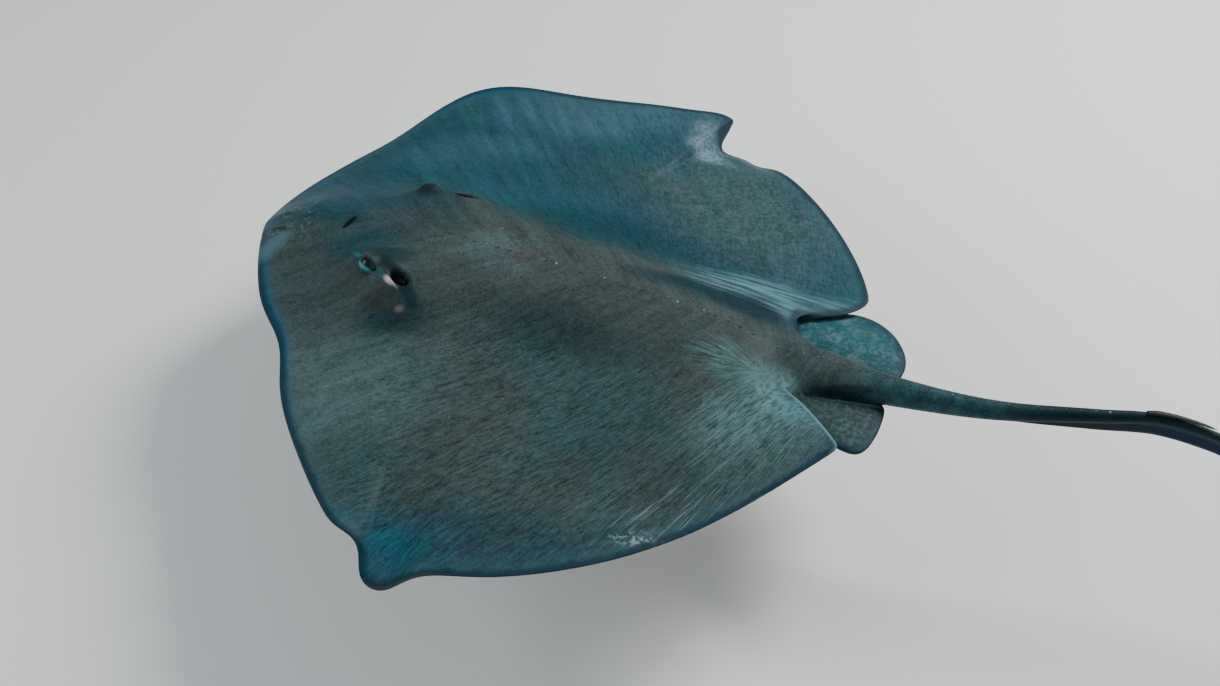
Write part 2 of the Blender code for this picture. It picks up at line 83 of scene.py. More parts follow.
MARGIN_ROUND = 0.007
LOOP_STEPS = 2400
LOOP_REACH = 60
MARGIN_HALF = 0.0022
STATIONS = (0.00, 0.08, 0.18, 0.28, 0.40, 0.55, 0.70, 0.80)
BACK = (0.003, 0.019, 0.038, 0.046, 0.047, 0.040, 0.024, 0.003)
SPREAD = (0.050, 0.075, 0.105, 0.120, 0.118, 0.098, 0.070, 0.050)
BELLY = (0.002, 0.010, 0.020, 0.025, 0.026, 0.022, 0.013, 0.004)
BELLY_SPREAD = 0.135
WING_TOP = 0.018
WING_UNDER = 0.011
REAR = dict(start=0.66, length=0.13, thinner=0.75)
EYE_AT = (0.222, 0.082)
EYE_RADIUS = 0.0160
EYE_SINK = 0.0085
MOUND = dict(at=(0.228, 0.073), long=0.031, wide=0.022, high=0.0175)
RIDGE = dict(at=(0.282, 0.080), long=0.027, wide=0.021, high=0.0095)
CHEEK = dict(at=(0.264, 0.120), long=0.026, wide=0.020, high=0.0060)
MIDLINE_RUNS = ((0, 0.20, 0.46, 0.60, 0.72, 0.82, 0.90, 1.0),
                (0.045, 0.13, 0.28, 0.43, 0.58, 0.685, 0.725, 0.783))
RIBS_SWING = ((0, 0.62, 0.72, 0.82, 0.88, 1.0), (0, 0, 0.30, 0.85, 1.0, 1.0))
RIBS = 230
RINGS_ABOVE = 64
RINGS_BELOW = 44
CLOSER_AT_TIP = (0.50, 0.11, 1.7)
CLOSER_AT_RIM = (1.0, 0.06, 3.0)
SIDES = ((1, "right"), (-1, "left"))


def smooth_interp(x, xs, ys):
    """The height at x of a smooth curve through given points."""
    xs = np.asarray(xs, float)
    ys = np.asarray(ys, float)
    slope = np.gradient(ys, xs)
    x = np.clip(x, xs[0], xs[-1])
    i = np.clip(np.searchsorted(xs, x) - 1, 0, len(xs) - 2)
    h = xs[i + 1] - xs[i]
    u = (x - xs[i]) / h
    return ((1 + 2 * u) * (1 - u) ** 2 * ys[i] + u * (1 - u) ** 2 * h * slope[i]
            + u * u * (3 - 2 * u) * ys[i + 1] + u * u * (u - 1) * h * slope[i + 1])


def smoothstep(low, high, x):
    t = np.clip((x - low) / (high - low), 0.0, 1.0)
    return t * t * (3 - 2 * t)


def spaced(count, *bands):
    """Steps from 0 to 1, closer together inside each band of (middle, half width, how many times)."""
    t = np.linspace(0.0, 1.0, 3001)
    density = 1.0 + sum((times - 1) * np.exp(-np.abs((t - middle) / half) ** 4)
                        for middle, half, times in bands)
    run = np.concatenate([[0.0], np.cumsum((density[1:] + density[:-1]) / 2)])
    return np.interp(np.linspace(0.0, run[-1], count + 1), run, t)


def bezier(a, b, c, d, count):
    t = np.linspace(0, 1, count)[:, None]
    return (1 - t) ** 3 * a + 3 * (1 - t) ** 2 * t * b + 3 * (1 - t) * t * t * c + t ** 3 * d


def resample(line, fractions):
    """Points of a line at fractions of its length."""
    step = np.linalg.norm(np.diff(line, axis=0), axis=1)
    along = np.concatenate([[0], np.cumsum(step)])
    along = along / along[-1]
    return np.column_stack([np.interp(fractions, along, line[:, k]) for k in range(line.shape[1])])


def bells(place, shapes):
    """Sum of bell curves, each given as (middle, height, reach)."""
    return sum(high * np.exp(-0.5 * ((place - at) / reach) ** 2) for at, high, reach in shapes)


def half_margin(half, count=400):
    """Rim of one half of the disc from the snout to the end of the midline: x, outward y, lift and curl."""
    snout = np.zeros(2)
    tip = np.array(half["tip"])
    corner = np.array(half["corner"])
    root = np.array(INNER_ROOT)
    lead = bezier(snout, np.array([half["snout_back"], half["snout_out"]]),
                  tip - [half["lead_pull"], 0.0], tip, count)
    trail = bezier(tip, tip + [half["trail_pull"], 0.0],
                   corner + [-half["corner_fwd"], half["corner_in"]], corner, count)
    outer_bend, inner_bend = (np.array(p) for p in half["inner"])
    inner = np.concatenate([bezier(corner, (corner + outer_bend) / 2, outer_bend, inner_bend, count // 4),
                            bezier(inner_bend, inner_bend + (inner_bend - outer_bend) * 0.1, root, root,
                                   count // 8)[1:]])
    end = np.array([DISC_END, 0.0])
    close = bezier(root, root + [0.01, -0.01], end + [0.0, 0.015], end, count // 6)
    rim = np.concatenate([lead, trail[1:]])
    step = np.linalg.norm(np.diff(rim, axis=0), axis=1)
    along = np.concatenate([[0], np.cumsum(step)])
    lift = smooth_interp(along / along[-1], np.linspace(0, 1, len(half["lift"])), half["lift"])
    run = np.gradient(rim, axis=0)
    inward = np.column_stack([run[:, 1], -run[:, 0]]) / np.linalg.norm(run, axis=1)[:, None]
    past = along - along[count - 1]
    curl = bells(past, half["curls"])
    rim += inward * bells(past, half["nicks"])[:, None]
    plan = np.concatenate([rim, inner[1:], close[1:]])
    fall = np.linspace(half["lift"][-1], MIDLINE_LEVEL, len(inner) - 1)
    lift = np.concatenate([lift, fall, np.full(len(close) - 1, MIDLINE_LEVEL)])
    curl = np.concatenate([curl, np.zeros(len(plan) - len(curl))])
    return np.column_stack([plan, lift, curl])


def rounded(loop, reach, width):
    """A closed loop with its corners rounded: each point is a bell-weighted mean of its neighbours."""
    offsets = range(-reach, reach + 1)
    weight = np.exp(-0.5 * (np.array(offsets) / width) ** 2)
    weight /= weight.sum()
    return sum(w * np.roll(loop, -k, axis=0) for k, w in zip(offsets, weight))


def disc_rims(fractions):
    """Rims of the right and left halves, rounded together so that the snout has no corner."""
    loop = np.concatenate([half_margin(RIGHT), (half_margin(LEFT) * [1, -1, 1, 1])[::-1][1:-1]])
    even = resample(np.concatenate([loop, loop[:1]]), np.linspace(0, 1, LOOP_STEPS + 1))[:-1]
    length = np.linalg.norm(np.diff(even, axis=0), axis=1).sum()
    soft = rounded(even, LOOP_REACH, MARGIN_ROUND * LOOP_STEPS / length)
    first, last = LOOP_STEPS // 4, LOOP_STEPS * 3 // 4
    end = np.argmin(np.abs(soft[first:last, 1]) + np.abs(soft[first:last, 0] - DISC_END)) + first
    sides = (soft[:end + 1], np.concatenate([soft[end:], soft[:1]])[::-1])
    rims = [resample(side, fractions) for side in sides]
    for rim in rims:
        rim[0, 1] = rim[-1, 1] = 0.0
    rims[1][0] = rims[0][0]
    rims[1][-1] = rims[0][-1]
    return rims, soft


def mound(x, y, side, shape):
    """Height of a soft swelling on one side of the body, or depth of a dip."""
    across = (y * side - shape["at"][1]) / shape["wide"]
    return shape["high"] * np.exp(-0.5 * (((x - shape["at"][0]) / shape["long"]) ** 2 + across ** 2))


def rear_fade(x):
    """The disc thins out where the root of the tail takes over from it."""
    return 1 - REAR["thinner"] * np.clip((x - REAR["start"]) / REAR["length"], 0, 1) ** 1.5


def wing_half(x, r, thickness, power):
    """Half the thickness of the wing, r of the way from the midline to its rounded rim."""
    rim = MARGIN_HALF * np.sqrt(np.maximum(0, 1 - r ** 10))
    return thickness * np.maximum(0, 1 - r) ** power * np.minimum(1, x / 0.10 + 0.2) * rear_fade(x) + rim


def back_height(x, y, r):
    """How far the back stands above the middle of the disc."""
    spread = smooth_interp(x, STATIONS, SPREAD)
    hump = smooth_interp(x, STATIONS, BACK) * np.exp(-np.abs(y / spread) ** 2.2)
    eyes = sum(mound(x, y, side, shape) for side in (1, -1) for shape in (MOUND, RIDGE, CHEEK))
    return (hump * np.maximum(0, 1 - r ** 6) + wing_half(x, r, WING_TOP, 0.8)
            + eyes * np.maximum(0, 1 - r ** 8))


def belly_depth(x, y, r):
    """How far the belly hangs below the middle of the disc."""
    belly = smooth_interp(x, STATIONS, BELLY) * np.exp(-np.abs(y / BELLY_SPREAD) ** 3.5)
    return belly * np.maximum(0, 1 - r ** 6) + wing_half(x, r, WING_UNDER, 0.7)


def disc_form():
    """Points and faces of the closed disc: ribs run out from the midline, rings run round inside the rim."""
    where = spaced(RIBS, CLOSER_AT_TIP)
    rims, outline = disc_rims(where)
    n = RIBS
    axis = np.column_stack([smooth_interp(where, *MIDLINE_RUNS), np.zeros(n + 1),
                            np.full(n + 1, MIDLINE_LEVEL)])
    loop = np.concatenate([rims[0][:n], rims[1][:0:-1]])
    rib = np.concatenate([np.arange(n), np.arange(n, 0, -1)])
    swing = smooth_interp(where, *RIBS_SWING)[rib, None]
    curl = loop[:, 3]
    loop = loop[:, :3]
    elbow = (axis[rib] + loop) / 2 * (1 - swing) + np.column_stack(
        [axis[rib, 0] + 0.006, loop[:, 1], loop[:, 2]]) * swing
    points = []
    faces = []
    rim_row = None
    for sign, rings in ((1, RINGS_ABOVE), (-1, RINGS_BELOW)):
        rows = []
        for r in spaced(rings, CLOSER_AT_RIM):
            if r == 0.0:
                pts = axis.copy()
            else:
                pts = axis[rib] * (1 - r) ** 2 + elbow * 2 * r * (1 - r) + loop * r * r
                pts[:, 2] = axis[rib, 2] * (1 - r ** 1.7) + loop[:, 2] * r ** 1.7 + curl * r ** 7
            if r < 1.0:
                height = back_height if sign > 0 else belly_depth
                pts[:, 2] += sign * height(pts[:, 0], pts[:, 1], r)
            elif sign < 0:
                rows.append(rim_row)
                continue
            first = sum(len(p) for p in points)
            points.append(pts)
            rows.append(np.arange(first, first + len(pts)))
            if r == 1.0:
                rim_row = rows[-1]
        ahead = np.roll(np.arange(2 * n), -1)
        a, b = rows[0][rib], rows[0][rib[ahead]]
        for k in range(2 * n):
            ring = (rows[1][ahead[k]], rows[1][k])
            faces.append((a[k], b[k], *ring) if a[k] != b[k] else (a[k], *ring))
        for inner, outer in zip(rows[1:], rows[2:]):
            faces += list(zip(inner, inner[ahead], outer[ahead], outer))
    return np.concatenate(points), faces, outline


def mesh_object(name, points, faces, mark=0, refine=()):
    """A closed mesh object, facing out; refine lists (test of x, y and z, number of cuts)."""
    mesh = bpy.data.meshes.new(name)
    mesh.from_pydata([tuple(map(float, p)) for p in points], [], [tuple(map(int, f)) for f in faces])
    work = bmesh.new()
    work.from_mesh(mesh)
    bmesh.ops.remove_doubles(work, verts=work.verts, dist=1e-6)
    bmesh.ops.recalc_face_normals(work, faces=work.faces)
    for test, cuts in refine:
        for face in work.faces:
            face.tag = test(face.calc_center_median(), face.normal)
        chosen = [edge for edge in work.edges if any(face.tag for face in edge.link_faces)]
        bmesh.ops.subdivide_edges(work, edges=chosen, cuts=cuts, use_grid_fill=True, smooth=0.0)
    for face in work.faces:
        face.material_index = mark
        face.smooth = True
    work.to_mesh(mesh)
    work.free()
    obj = bpy.data.objects.new(name, mesh)
    bpy.context.scene.collection.objects.link(obj)
    return obj


# Where the faces are cut finer: over the head, at the lids and round the mouth and gills.
def near_eyes(at, normal):
    return normal.z > 0 and 0.175 < at.x < 0.310 and 0.040 < abs(at.y) < 0.128


def at_eyes(at, normal):
    return normal.z > 0 and math.hypot(at.x - EYE_AT[0], abs(at.y) - EYE_AT[1] - 0.001) < 0.026


def near_mouth(at, normal):
    return normal.z < 0 and 0.135 < at.x < 0.360 and abs(at.y) < 0.108


disc_points, disc_faces, OUTLINE = disc_form()
skin = mesh_object("skin", disc_points, disc_faces, 0, ((near_eyes, 2), (at_eyes, 1), (near_mouth, 1)))

# ---- Skin: the tail -----------------------------------------------------------------------------
# A whip cast with the body, that starts as wide as the hips and ends finer than a straw. A thin fold of
# black skin hangs under its middle third and a low keel stands on it behind the sting.
TAIL_LINE = ((0.62, 0.000, 0.008), (0.80, 0.000, 0.013), (0.90, 0.000, 0.016), (1.02, 0.010, 0.022),
             (1.13, 0.037, 0.031), (1.205, 0.056, 0.036), (1.27, 0.063, 0.026), (1.37, 0.055, -0.004),
             (1.55, 0.026, -0.042), (1.80, -0.020, -0.066), (2.03, -0.030, -0.064), (2.24, -0.004, -0.056))
TAIL_ROOT = 0.90
TAIL_ROOT_RADIUS = 0.0183
TAIL_END_RADIUS = 0.0018
TAIL_DECAY = 0.25
TAIL_FLARE = dict(wide=0.30, high=0.055)
FOLD = dict(start=1.01, deepest=1.25, end=1.86, depth=0.020)
KEEL = dict(start=1.28, highest=1.36, end=1.78, depth=0.0035)
TAIL_RINGS = 330


def path_of(points, count):
    """A smooth line through given points, in steps of one length."""
    points = np.asarray(points)
    x = np.linspace(points[0, 0], points[-1, 0], 1600)
    line = np.column_stack([x] + [smooth_interp(x, points[:, 0], points[:, k]) for k in (1, 2)])
    return resample(line, np.linspace(0, 1, count))


def tail_radius(x):
    """Half width and half height of the tail."""
    behind = np.maximum(x, TAIL_ROOT) - TAIL_ROOT
    thin = TAIL_END_RADIUS + (TAIL_ROOT_RADIUS - TAIL_END_RADIUS) * np.exp(-behind / TAIL_DECAY)
    ahead = np.maximum(0, TAIL_ROOT - x)
    return thin + TAIL_FLARE["wide"] * ahead ** 1.25, thin + TAIL_FLARE["high"] * ahead


def leaf_depth(x, shape, peak):
    """How far a fold or keel stands out of the tail."""
    rise = np.clip((x - shape["start"]) / (shape[peak] - shape["start"]), 0, 1)
    fall = np.clip((shape["end"] - x) / (shape["end"] - shape[peak]), 0, 1)
    return shape["depth"] * np.minimum(np.sin(rise * math.pi / 2), fall ** 0.7)


def tube_faces(rings, around, capped=True):
    """Faces of a tube made of rings of points, with a flat cap on each end."""
    faces = [(i * around + k, i * around + (k + 1) % around,
              (i + 1) * around + (k + 1) % around, (i + 1) * around + k)
             for i in range(rings - 1) for k in range(around)]
    if capped:
        faces += [tuple(range(around)), tuple(range((rings - 1) * around, rings * around))]
    return faces


def tail_form():
    """Points and faces of the tail: ovals with the keel on top and the leaf of the fold below."""
    line = path_of(TAIL_LINE, TAIL_RINGS)
    points = []
    round_part = np.radians(np.linspace(90, -66, 12))
    last = len(line) - 1
    for i, centre in enumerate(line):
        wide, high = (float(v) for v in tail_radius(centre[0]))
        tip = math.sqrt(max(0.0, 1 - max(0.0, (i - last + 4) / 4.3) ** 2))
        wide, high = wide * tip, high * tip
        fold = float(leaf_depth(centre[0], FOLD, "deepest"))
        keel = float(leaf_depth(centre[0], KEEL, "highest"))
        half = [[wide * math.cos(a), high * math.sin(a)] for a in round_part]
        half[0] = [0.0, high + keel]
        half[1][1] += 0.25 * keel
        lip = min(0.0010, 0.3 * wide)
        half += [[lip * 1.2, -high - 0.30 * fold], [lip, -high - 0.80 * fold], [0.0, -high * 1.02 - fold]]
        section = half + [[-y, z] for y, z in half[-2:0:-1]]
        run = line[min(i + 1, last)] - line[max(i - 1, 0)]
        side = np.array([-run[1], run[0], 0.0])
        side /= np.linalg.norm(side)
        up = np.cross(run / np.linalg.norm(run), side)
        points += [centre + side * y + up * z for y, z in section]
    return points, tube_faces(len(line), len(section))


# ---- Skin: the pelvic fins ----------------------------------------------------------------------
# Two short fins cast beside the root of the tail, thick at the hip and thin round the edge. The free
# rear lobes of the wings lie over their front halves.
PELVIC = {1: ((0.735, 0.020), (0.736, 0.090), (0.772, 0.124), (0.808, 0.142), (0.840, 0.138), (0.869, 0.119),
              (0.890, 0.090), (0.899, 0.062), (0.893, 0.016), (0.840, 0.004)),
          -1: ((0.735, 0.020), (0.742, 0.060), (0.790, 0.084), (0.835, 0.096), (0.864, 0.105), (0.885, 0.109),
               (0.894, 0.093), (0.898, 0.055), (0.894, 0.010), (0.840, 0.004))}
PELVIC_CENTRE = (0.825, 0.055)
PELVIC_LEVEL = 0.0005
PELVIC_DROOP = dict(past=0.06, slope=0.04)
PELVIC_HALF = 0.0052
PELVIC_RIM_HALF = 0.0012
PELVIC_STEPS = 120
PELVIC_ROUND = (18, 6.0)
PELVIC_RINGS = (0.12, 0.24, 0.36, 0.48, 0.60, 0.70, 0.79, 0.86, 0.91, 0.95, 0.975, 0.992, 1.0)


def pelvic_form(side):
    """Points and faces of one fin; the points end with its rim, seen from below."""
    corners = np.array(PELVIC[side] + PELVIC[side][:1])
    fine = resample(corners, np.linspace(0, 1, 2 * PELVIC_STEPS + 1))[:-1]
    loop = rounded(fine, *PELVIC_ROUND)[::2]
    centre = np.array(PELVIC_CENTRE)
    n = len(loop)
    points = []
    faces = []
    rim = None
    for sign in (1, -1):
        points.append((centre[0], centre[1] * side, PELVIC_LEVEL + sign * PELVIC_HALF))
        rows = [[len(points) - 1] * n]
        for r in PELVIC_RINGS:
            if r == 1.0 and sign < 0:
                rows.append(rim)
                continue
            half = PELVIC_HALF * math.sqrt(max(0.0, 1 - r ** 2)) + PELVIC_RIM_HALF * math.sqrt(1 - r ** 24)
            rows.append(list(range(len(points), len(points) + n)))
            for x, y in centre * (1 - r) + loop * r:
                droop = PELVIC_DROOP["slope"] * max(0, y - PELVIC_DROOP["past"])
                points.append((x, y * side, PELVIC_LEVEL - droop + sign * half))
        rim = rows[-1]
        for inner, outer in zip(rows, rows[1:]):
            for k in range(n):
                k2 = (k + 1) % n
                quad = (inner[k], inner[k2], outer[k2], outer[k])
                faces.append(quad if inner[k] != inner[k2] else (inner[k], outer[k2], outer[k]))
    return points, faces


# ---- Skin: joined and faired --------------------------------------------------------------------
# Tail and fins are sculpted into the disc: the joint with the tail is faired over until no line shows,
# while the fins keep their crease, as they do in life. The curled tips and the notches between wing
# and hip are then eased until nothing pinches.
ON_DISC, ON_TAIL, ON_FIN = 0, 1, 2
SEAMS = ((ON_DISC, ON_TAIL, 0.016, 60), (ON_TAIL, ON_FIN, 0.003, 6), (ON_DISC, ON_FIN, 0.0016, 4))
NOTCH = dict(at=(0.772, 0.052), long=0.016, wide=0.020, passes=25)
SUPPLE = dict(wing=(0.22, 0.32), from_rim=(0.004, 0.020), passes=40)
EASE = 0.6


def join(body, points, faces, mark):
    """Sculpts another closed form onto the body; its faces keep their mark."""
    other = mesh_object("joined", points, faces, mark)
    for index in range(ON_FIN + 1):
        for obj in (body, other):
            if len(obj.data.materials) <= index:
                obj.data.materials.append(None)
    union = body.modifiers.new("Union", "BOOLEAN")
    union.operation = "UNION"
    union.solver = "EXACT"
    union.object = other
    graph = bpy.context.evaluated_depsgraph_get()
    mesh = bpy.data.meshes.new_from_object(body.evaluated_get(graph))
    body.modifiers.clear()
    body.data = mesh
    bpy.data.objects.remove(other)


join(skin, *tail_form(), ON_TAIL)
join(skin, *pelvic_form(1), ON_FIN)
join(skin, *pelvic_form(-1), ON_FIN)


def relax(points, edges, share, passes):
    """Eases points towards the mean of their neighbours; share is one number, or three, for each point."""
    for _ in range(passes):
        total = np.zeros_like(points)
        count = np.zeros(len(points))
        for a, b in ((0, 1), (1, 0)):
            np.add.at(total, edges[:, a], points[edges[:, b]])
            np.add.at(count, edges[:, a], 1)
        points += EASE * share * (total / np.maximum(count, 1)[:, None] - points)


def seam_points(mesh, first, second):
    """Points where faces of one sculpted part meet faces of the other."""
    owners = {}
    for face in mesh.polygons:
        for key in face.edge_keys:
            owners.setdefault(key, set()).add(face.material_index)
    return sorted({v for key, marks in owners.items() if {first, second} <= marks for v in key})


def distance_to(points, others):
    """Distance between each point and the nearest of the others."""
    tree = KDTree(len(others))
    for i, place in enumerate(others):
        tree.insert(place, i)
    tree.balance()
    return np.array([tree.find(place)[2] for place in points])


def plan_distance(points, line):
    """The same, as seen from above."""
    return distance_to(points[:, :3] * (1, 1, 0), np.pad(line[:, :2], ((0, 0), (0, 1))))


mesh = skin.data
points = np.array([v.co for v in mesh.vertices], float)
edges = np.array([e.vertices for e in mesh.edges], int)
for first, second, reach, passes in SEAMS:
    far = distance_to(points, points[seam_points(mesh, first, second)])
    relax(points, edges, np.exp(-(far / reach) ** 2)[:, None], passes)
around_notch = np.exp(-((points[:, 0] - NOTCH["at"][0]) / NOTCH["long"]) ** 2
                      - ((np.abs(points[:, 1]) - NOTCH["at"][1]) / NOTCH["wide"]) ** 2)
relax(points, edges, around_notch[:, None], NOTCH["passes"])
supple = smoothstep(*SUPPLE["wing"], np.abs(points[:, 1]))
supple *= smoothstep(*SUPPLE["from_rim"], plan_distance(points, OUTLINE))
relax(points, edges, supple[:, None] * (0, 0, 1), SUPPLE["passes"])

# ---- Skin: the back -----------------------------------------------------------------------------
# What the sculptor works into the clay once the large form is right: the dip between the eyes, the
# low crest down the middle of the back, the shoulder girdle and the slack waves of the wing.
GROOVE = dict(at=(0.232, 0.034), long=0.050, wide=0.017, high=-0.0042)
SHOULDER = dict(at=(0.372, 0.052), long=0.034, wide=0.026, high=0.0022)
CREST = dict(front=0.33, back=0.76, wide=0.0075, high=0.0016)
WAVE_HIGH = 0.0011
PRESSED = dict(above=0.065, share=0.36)


def groove(off, width):
    """A rounded groove or ridge, 1 on its line."""
    return np.exp(-(off / width) ** 2)


def normals_of(mesh, points):
    """The way the skin faces at each point."""
    mesh.vertices.foreach_set("co", points.astype(np.float32).ravel())
    mesh.update()
    out = np.zeros(len(points) * 3, np.float32)
    mesh.vertices.foreach_get("normal", out)
    return out.reshape(-1, 3).astype(float)


normals = normals_of(mesh, points)
x, y, z = points.T
above = smoothstep(-0.05, 0.25, normals[:, 2])
rise = sum(mound(x, y, side, shape) for side in (1, -1) for shape in (GROOVE, SHOULDER))
rise += (CREST["high"] * groove(y, CREST["wide"])
         * smoothstep(CREST["front"], CREST["front"] + 0.06, x)
         * smoothstep(CREST["back"], CREST["back"] - 0.08, x))
aside = np.abs(y)
waves = np.sin(31 * x + 17 * aside) * np.cos(23 * y - 9 * x) + 0.5 * np.sin(57 * x - 40 * aside)
rise += smoothstep(0.12, 0.22, aside) * (x < 0.87) * WAVE_HIGH * waves
points[:, 2] += rise * above
points[:, 2] -= PRESSED["share"] * np.maximum(0, points[:, 2] - PRESSED["above"])

# ---- Skin: lids and spiracles -------------------------------------------------------------------
# Each eye sits in a thick fold of skin that covers the ball except for a leaning oval. Right behind it
# the spiracle takes in water for the gills: an oblique hole with a soft rim.
EYE_LOOKS = (-0.10, 0.62, 0.78)
LIDS_LEAN = math.radians(28)
OPENING = dict(fore=math.radians(68), above=math.radians(25), below=math.radians(38))
LID_THICK = 0.0011
LID_CLEAR = 0.0004
LID_SNAP = 0.022
LID_FILLET = 0.012
SOCKET_GAP = 0.0022
LIDS_REACH = dict(out=0.040, down=0.016)
SPIRACLE = dict(at=(0.2705, 0.0935), turn=math.radians(16), long=0.0160, wide=0.0085, deep=0.0125)
SPIRACLE_LIP = 0.0014


def eye_centre(side):
    """The middle of the ball, sunk below the top of the brow."""
    at_x, at_y = EYE_AT
    top = MIDLINE_LEVEL + float(back_height(np.array(at_x), np.array(at_y * side), np.array(0.25)))
    return np.array([at_x, at_y * side, top - EYE_SINK])


def eye_axes(side):
    """Unit vectors forwards, towards the brow and straight out of the eye."""
    out = np.array([EYE_LOOKS[0], EYE_LOOKS[1] * side, EYE_LOOKS[2]])
    out /= np.linalg.norm(out)
    fore = np.array([-math.cos(LIDS_LEAN), -math.sin(LIDS_LEAN) * side, 0.0])
    fore -= out * (fore @ out)
    fore /= np.linalg.norm(fore)
    brow = np.cross(out, fore) * side
    return fore, brow, out


def oval(x, y, side, shape):
    """Distance from the middle of an oval on the skin, 1 at its edge."""
    dx, dy = x - shape["at"][0], y * side - shape["at"][1]
    c, s = math.cos(shape["turn"]), math.sin(shape["turn"])
    return np.hypot((dx * c + dy * s) / shape["long"], (dy * c - dx * s) / shape["wide"])


for side in (1, -1):
    x, y, z = points.T
    hole = oval(x, y, side, SPIRACLE)
    points[:, 2] += above * (SPIRACLE_LIP * groove(hole - 1.32, 0.26)
                             - SPIRACLE["deep"] * (1 - smoothstep(0.45, 1.12, hole)))
    centre = eye_centre(side)
    fore, brow, out = eye_axes(side)
    reach = points - centre
    far = np.linalg.norm(reach, axis=1)
    close = (far < LIDS_REACH["out"]) & (z > centre[2] - LIDS_REACH["down"])
    far = far[close]
    unit = reach[close] / far[:, None]
    angle = np.arccos(np.clip(unit @ out, -1, 1))
    flat = unit - (unit @ out)[:, None] * out
    flat /= np.linalg.norm(flat, axis=1)[:, None]
    across, up = flat @ fore, flat @ brow
    edge = 1 / np.hypot(across / OPENING["fore"], up / np.where(up > 0, OPENING["above"], OPENING["below"]))
    angle = np.where(np.abs(angle - edge) < LID_SNAP, edge, angle)
    unit = out * np.cos(angle)[:, None] + flat * np.sin(angle)[:, None]
    past = angle - edge
    swell = smoothstep(0.0, 0.09, past) * np.exp(-np.maximum(0, past - 0.12) / 0.35)
    lid = EYE_RADIUS + LID_CLEAR + LID_THICK * swell
    meet = np.maximum(0, 1 - np.abs(far - lid) / LID_FILLET) ** 2 * LID_FILLET / 4
    draped = np.maximum(far, lid) + meet * smoothstep(0.10, 0.45, past)
    points[close] = centre + unit * np.where(past < 0, EYE_RADIUS - SOCKET_GAP, draped)[:, None]

# ---- Skin: the underside ------------------------------------------------------------------------
# Mouth with soft lips, nostrils joined by a fringed curtain, five gill slits a side, and the vent
# between the pelvic fins: all pressed in from below.
MOUTH = dict(at=0.197, half=0.0425, bow=0.007, deep=0.0060, wide=0.0022)
LIPS = dict(off=0.0060, wide=0.0036, high=0.0020)
CURTAIN = dict(front=0.160, half=0.046, thick=0.0022, fringe=0.0004, threads=1500)
NOSTRIL = dict(at=(0.161, 0.046), turn=math.radians(-35), long=0.0080, wide=0.0050, deep=0.0050)
GILLS = dict(front=0.258, step=0.0225, inner=(0.0915, 0.0640), length=0.030, deep=0.0030, flap=0.0012,
             bow=0.0035)
VENT = dict(at=0.806, half=0.012, deep=0.0035)


def gill_middle(i):
    """How far out the middle of a gill slit lies."""
    return np.interp(i, (0, 4), GILLS["inner"]) + GILLS["length"] / 2


x, y, z = points.T
below = smoothstep(0.05, -0.25, normals[:, 2])
mouth_x = MOUTH["at"] - MOUTH["bow"] * np.cos(np.clip(y / MOUTH["half"], -1, 1) * math.pi / 2)
from_mouth = x - mouth_x
mouth_end = smoothstep(1.12, 0.92, np.abs(y) / MOUTH["half"])
press = MOUTH["deep"] * groove(from_mouth, MOUTH["wide"]) * mouth_end
press -= LIPS["high"] * groove(np.abs(from_mouth) - LIPS["off"], LIPS["wide"]) * mouth_end
curtain = (smoothstep(CURTAIN["front"], CURTAIN["front"] + 0.008, x)
           * smoothstep(-0.0015, -0.0045, from_mouth)
           * smoothstep(CURTAIN["half"], CURTAIN["half"] - 0.006, np.abs(y)))
fringe = CURTAIN["fringe"] * np.cos(y * CURTAIN["threads"]) * smoothstep(-0.012, -0.004, from_mouth)
press -= curtain * (CURTAIN["thick"] + fringe)
for side in (1, -1):
    hole = oval(x, y, side, NOSTRIL)
    press += NOSTRIL["deep"] * (1 - smoothstep(0.3, 1.15, hole)) - 0.0009 * groove(hole - 1.35, 0.25)
    for i in range(5):
        off = (y * side - gill_middle(i)) / (GILLS["length"] / 2)
        slit_x = GILLS["front"] + GILLS["step"] * i + GILLS["bow"] * (1 - off ** 2)
        press += smoothstep(1.15, 0.80, np.abs(off)) * (
            GILLS["deep"] * groove(x - slit_x, 0.0017) - GILLS["flap"] * groove(x - slit_x + 0.0042, 0.0028))
press += VENT["deep"] * groove(y, 0.0024) * smoothstep(1.2, 0.8, np.abs(x - VENT["at"]) / VENT["half"])
points[:, 2] += press * below
slit = np.clip(press * below / 0.0028, 0, 1) * (x > 0.175) * (np.abs(y) < 0.055)

# ---- Skin: what the paint follows ---------------------------------------------------------------
# Kept on the skin for the paint to follow: the distance from the thin edge of wings and fins, the turn
# from back to belly, the fold under the tail, the fins, and the slits of the underside. The cast is then
# set over the foot of the stand, with its outermost rim eased back within its own box.
ON_STAND = np.array([-STAND_AT, 0.0, GLIDE_HEIGHT])
BOX_CLEAR = 0.0002
FAR_INSIDE = 0.2

mark = np.zeros(len(points), int)
for face in mesh.polygons:
    for v in face.vertices:
        mark[v] = max(mark[v], face.material_index)
rim_line = OUTLINE[(OUTLINE[:, 0] < 0.74) | (np.abs(OUTLINE[:, 1]) > 0.05)]
pelvic_rim = np.concatenate([np.array(pelvic_form(side)[0])[-PELVIC_STEPS:] for side in (1, -1)])
edge_far = np.full(len(points), FAR_INSIDE)
for index, line in ((ON_DISC, rim_line), (ON_FIN, pelvic_rim)):
    edge_far[mark == index] = plan_distance(points[mark == index], line)
normals = normals_of(mesh, points)
under = smoothstep(0.12, -0.12, normals[:, 2])
x, y, z = points.T
under[(z > 0.045) & (x < 0.4)] = 0.0
under *= 1 - (mark == ON_TAIL) * smoothstep(0.86, 0.98, x)
at_hip = smoothstep(0.735, 0.750, x) * smoothstep(0.105, 0.090, np.abs(y))
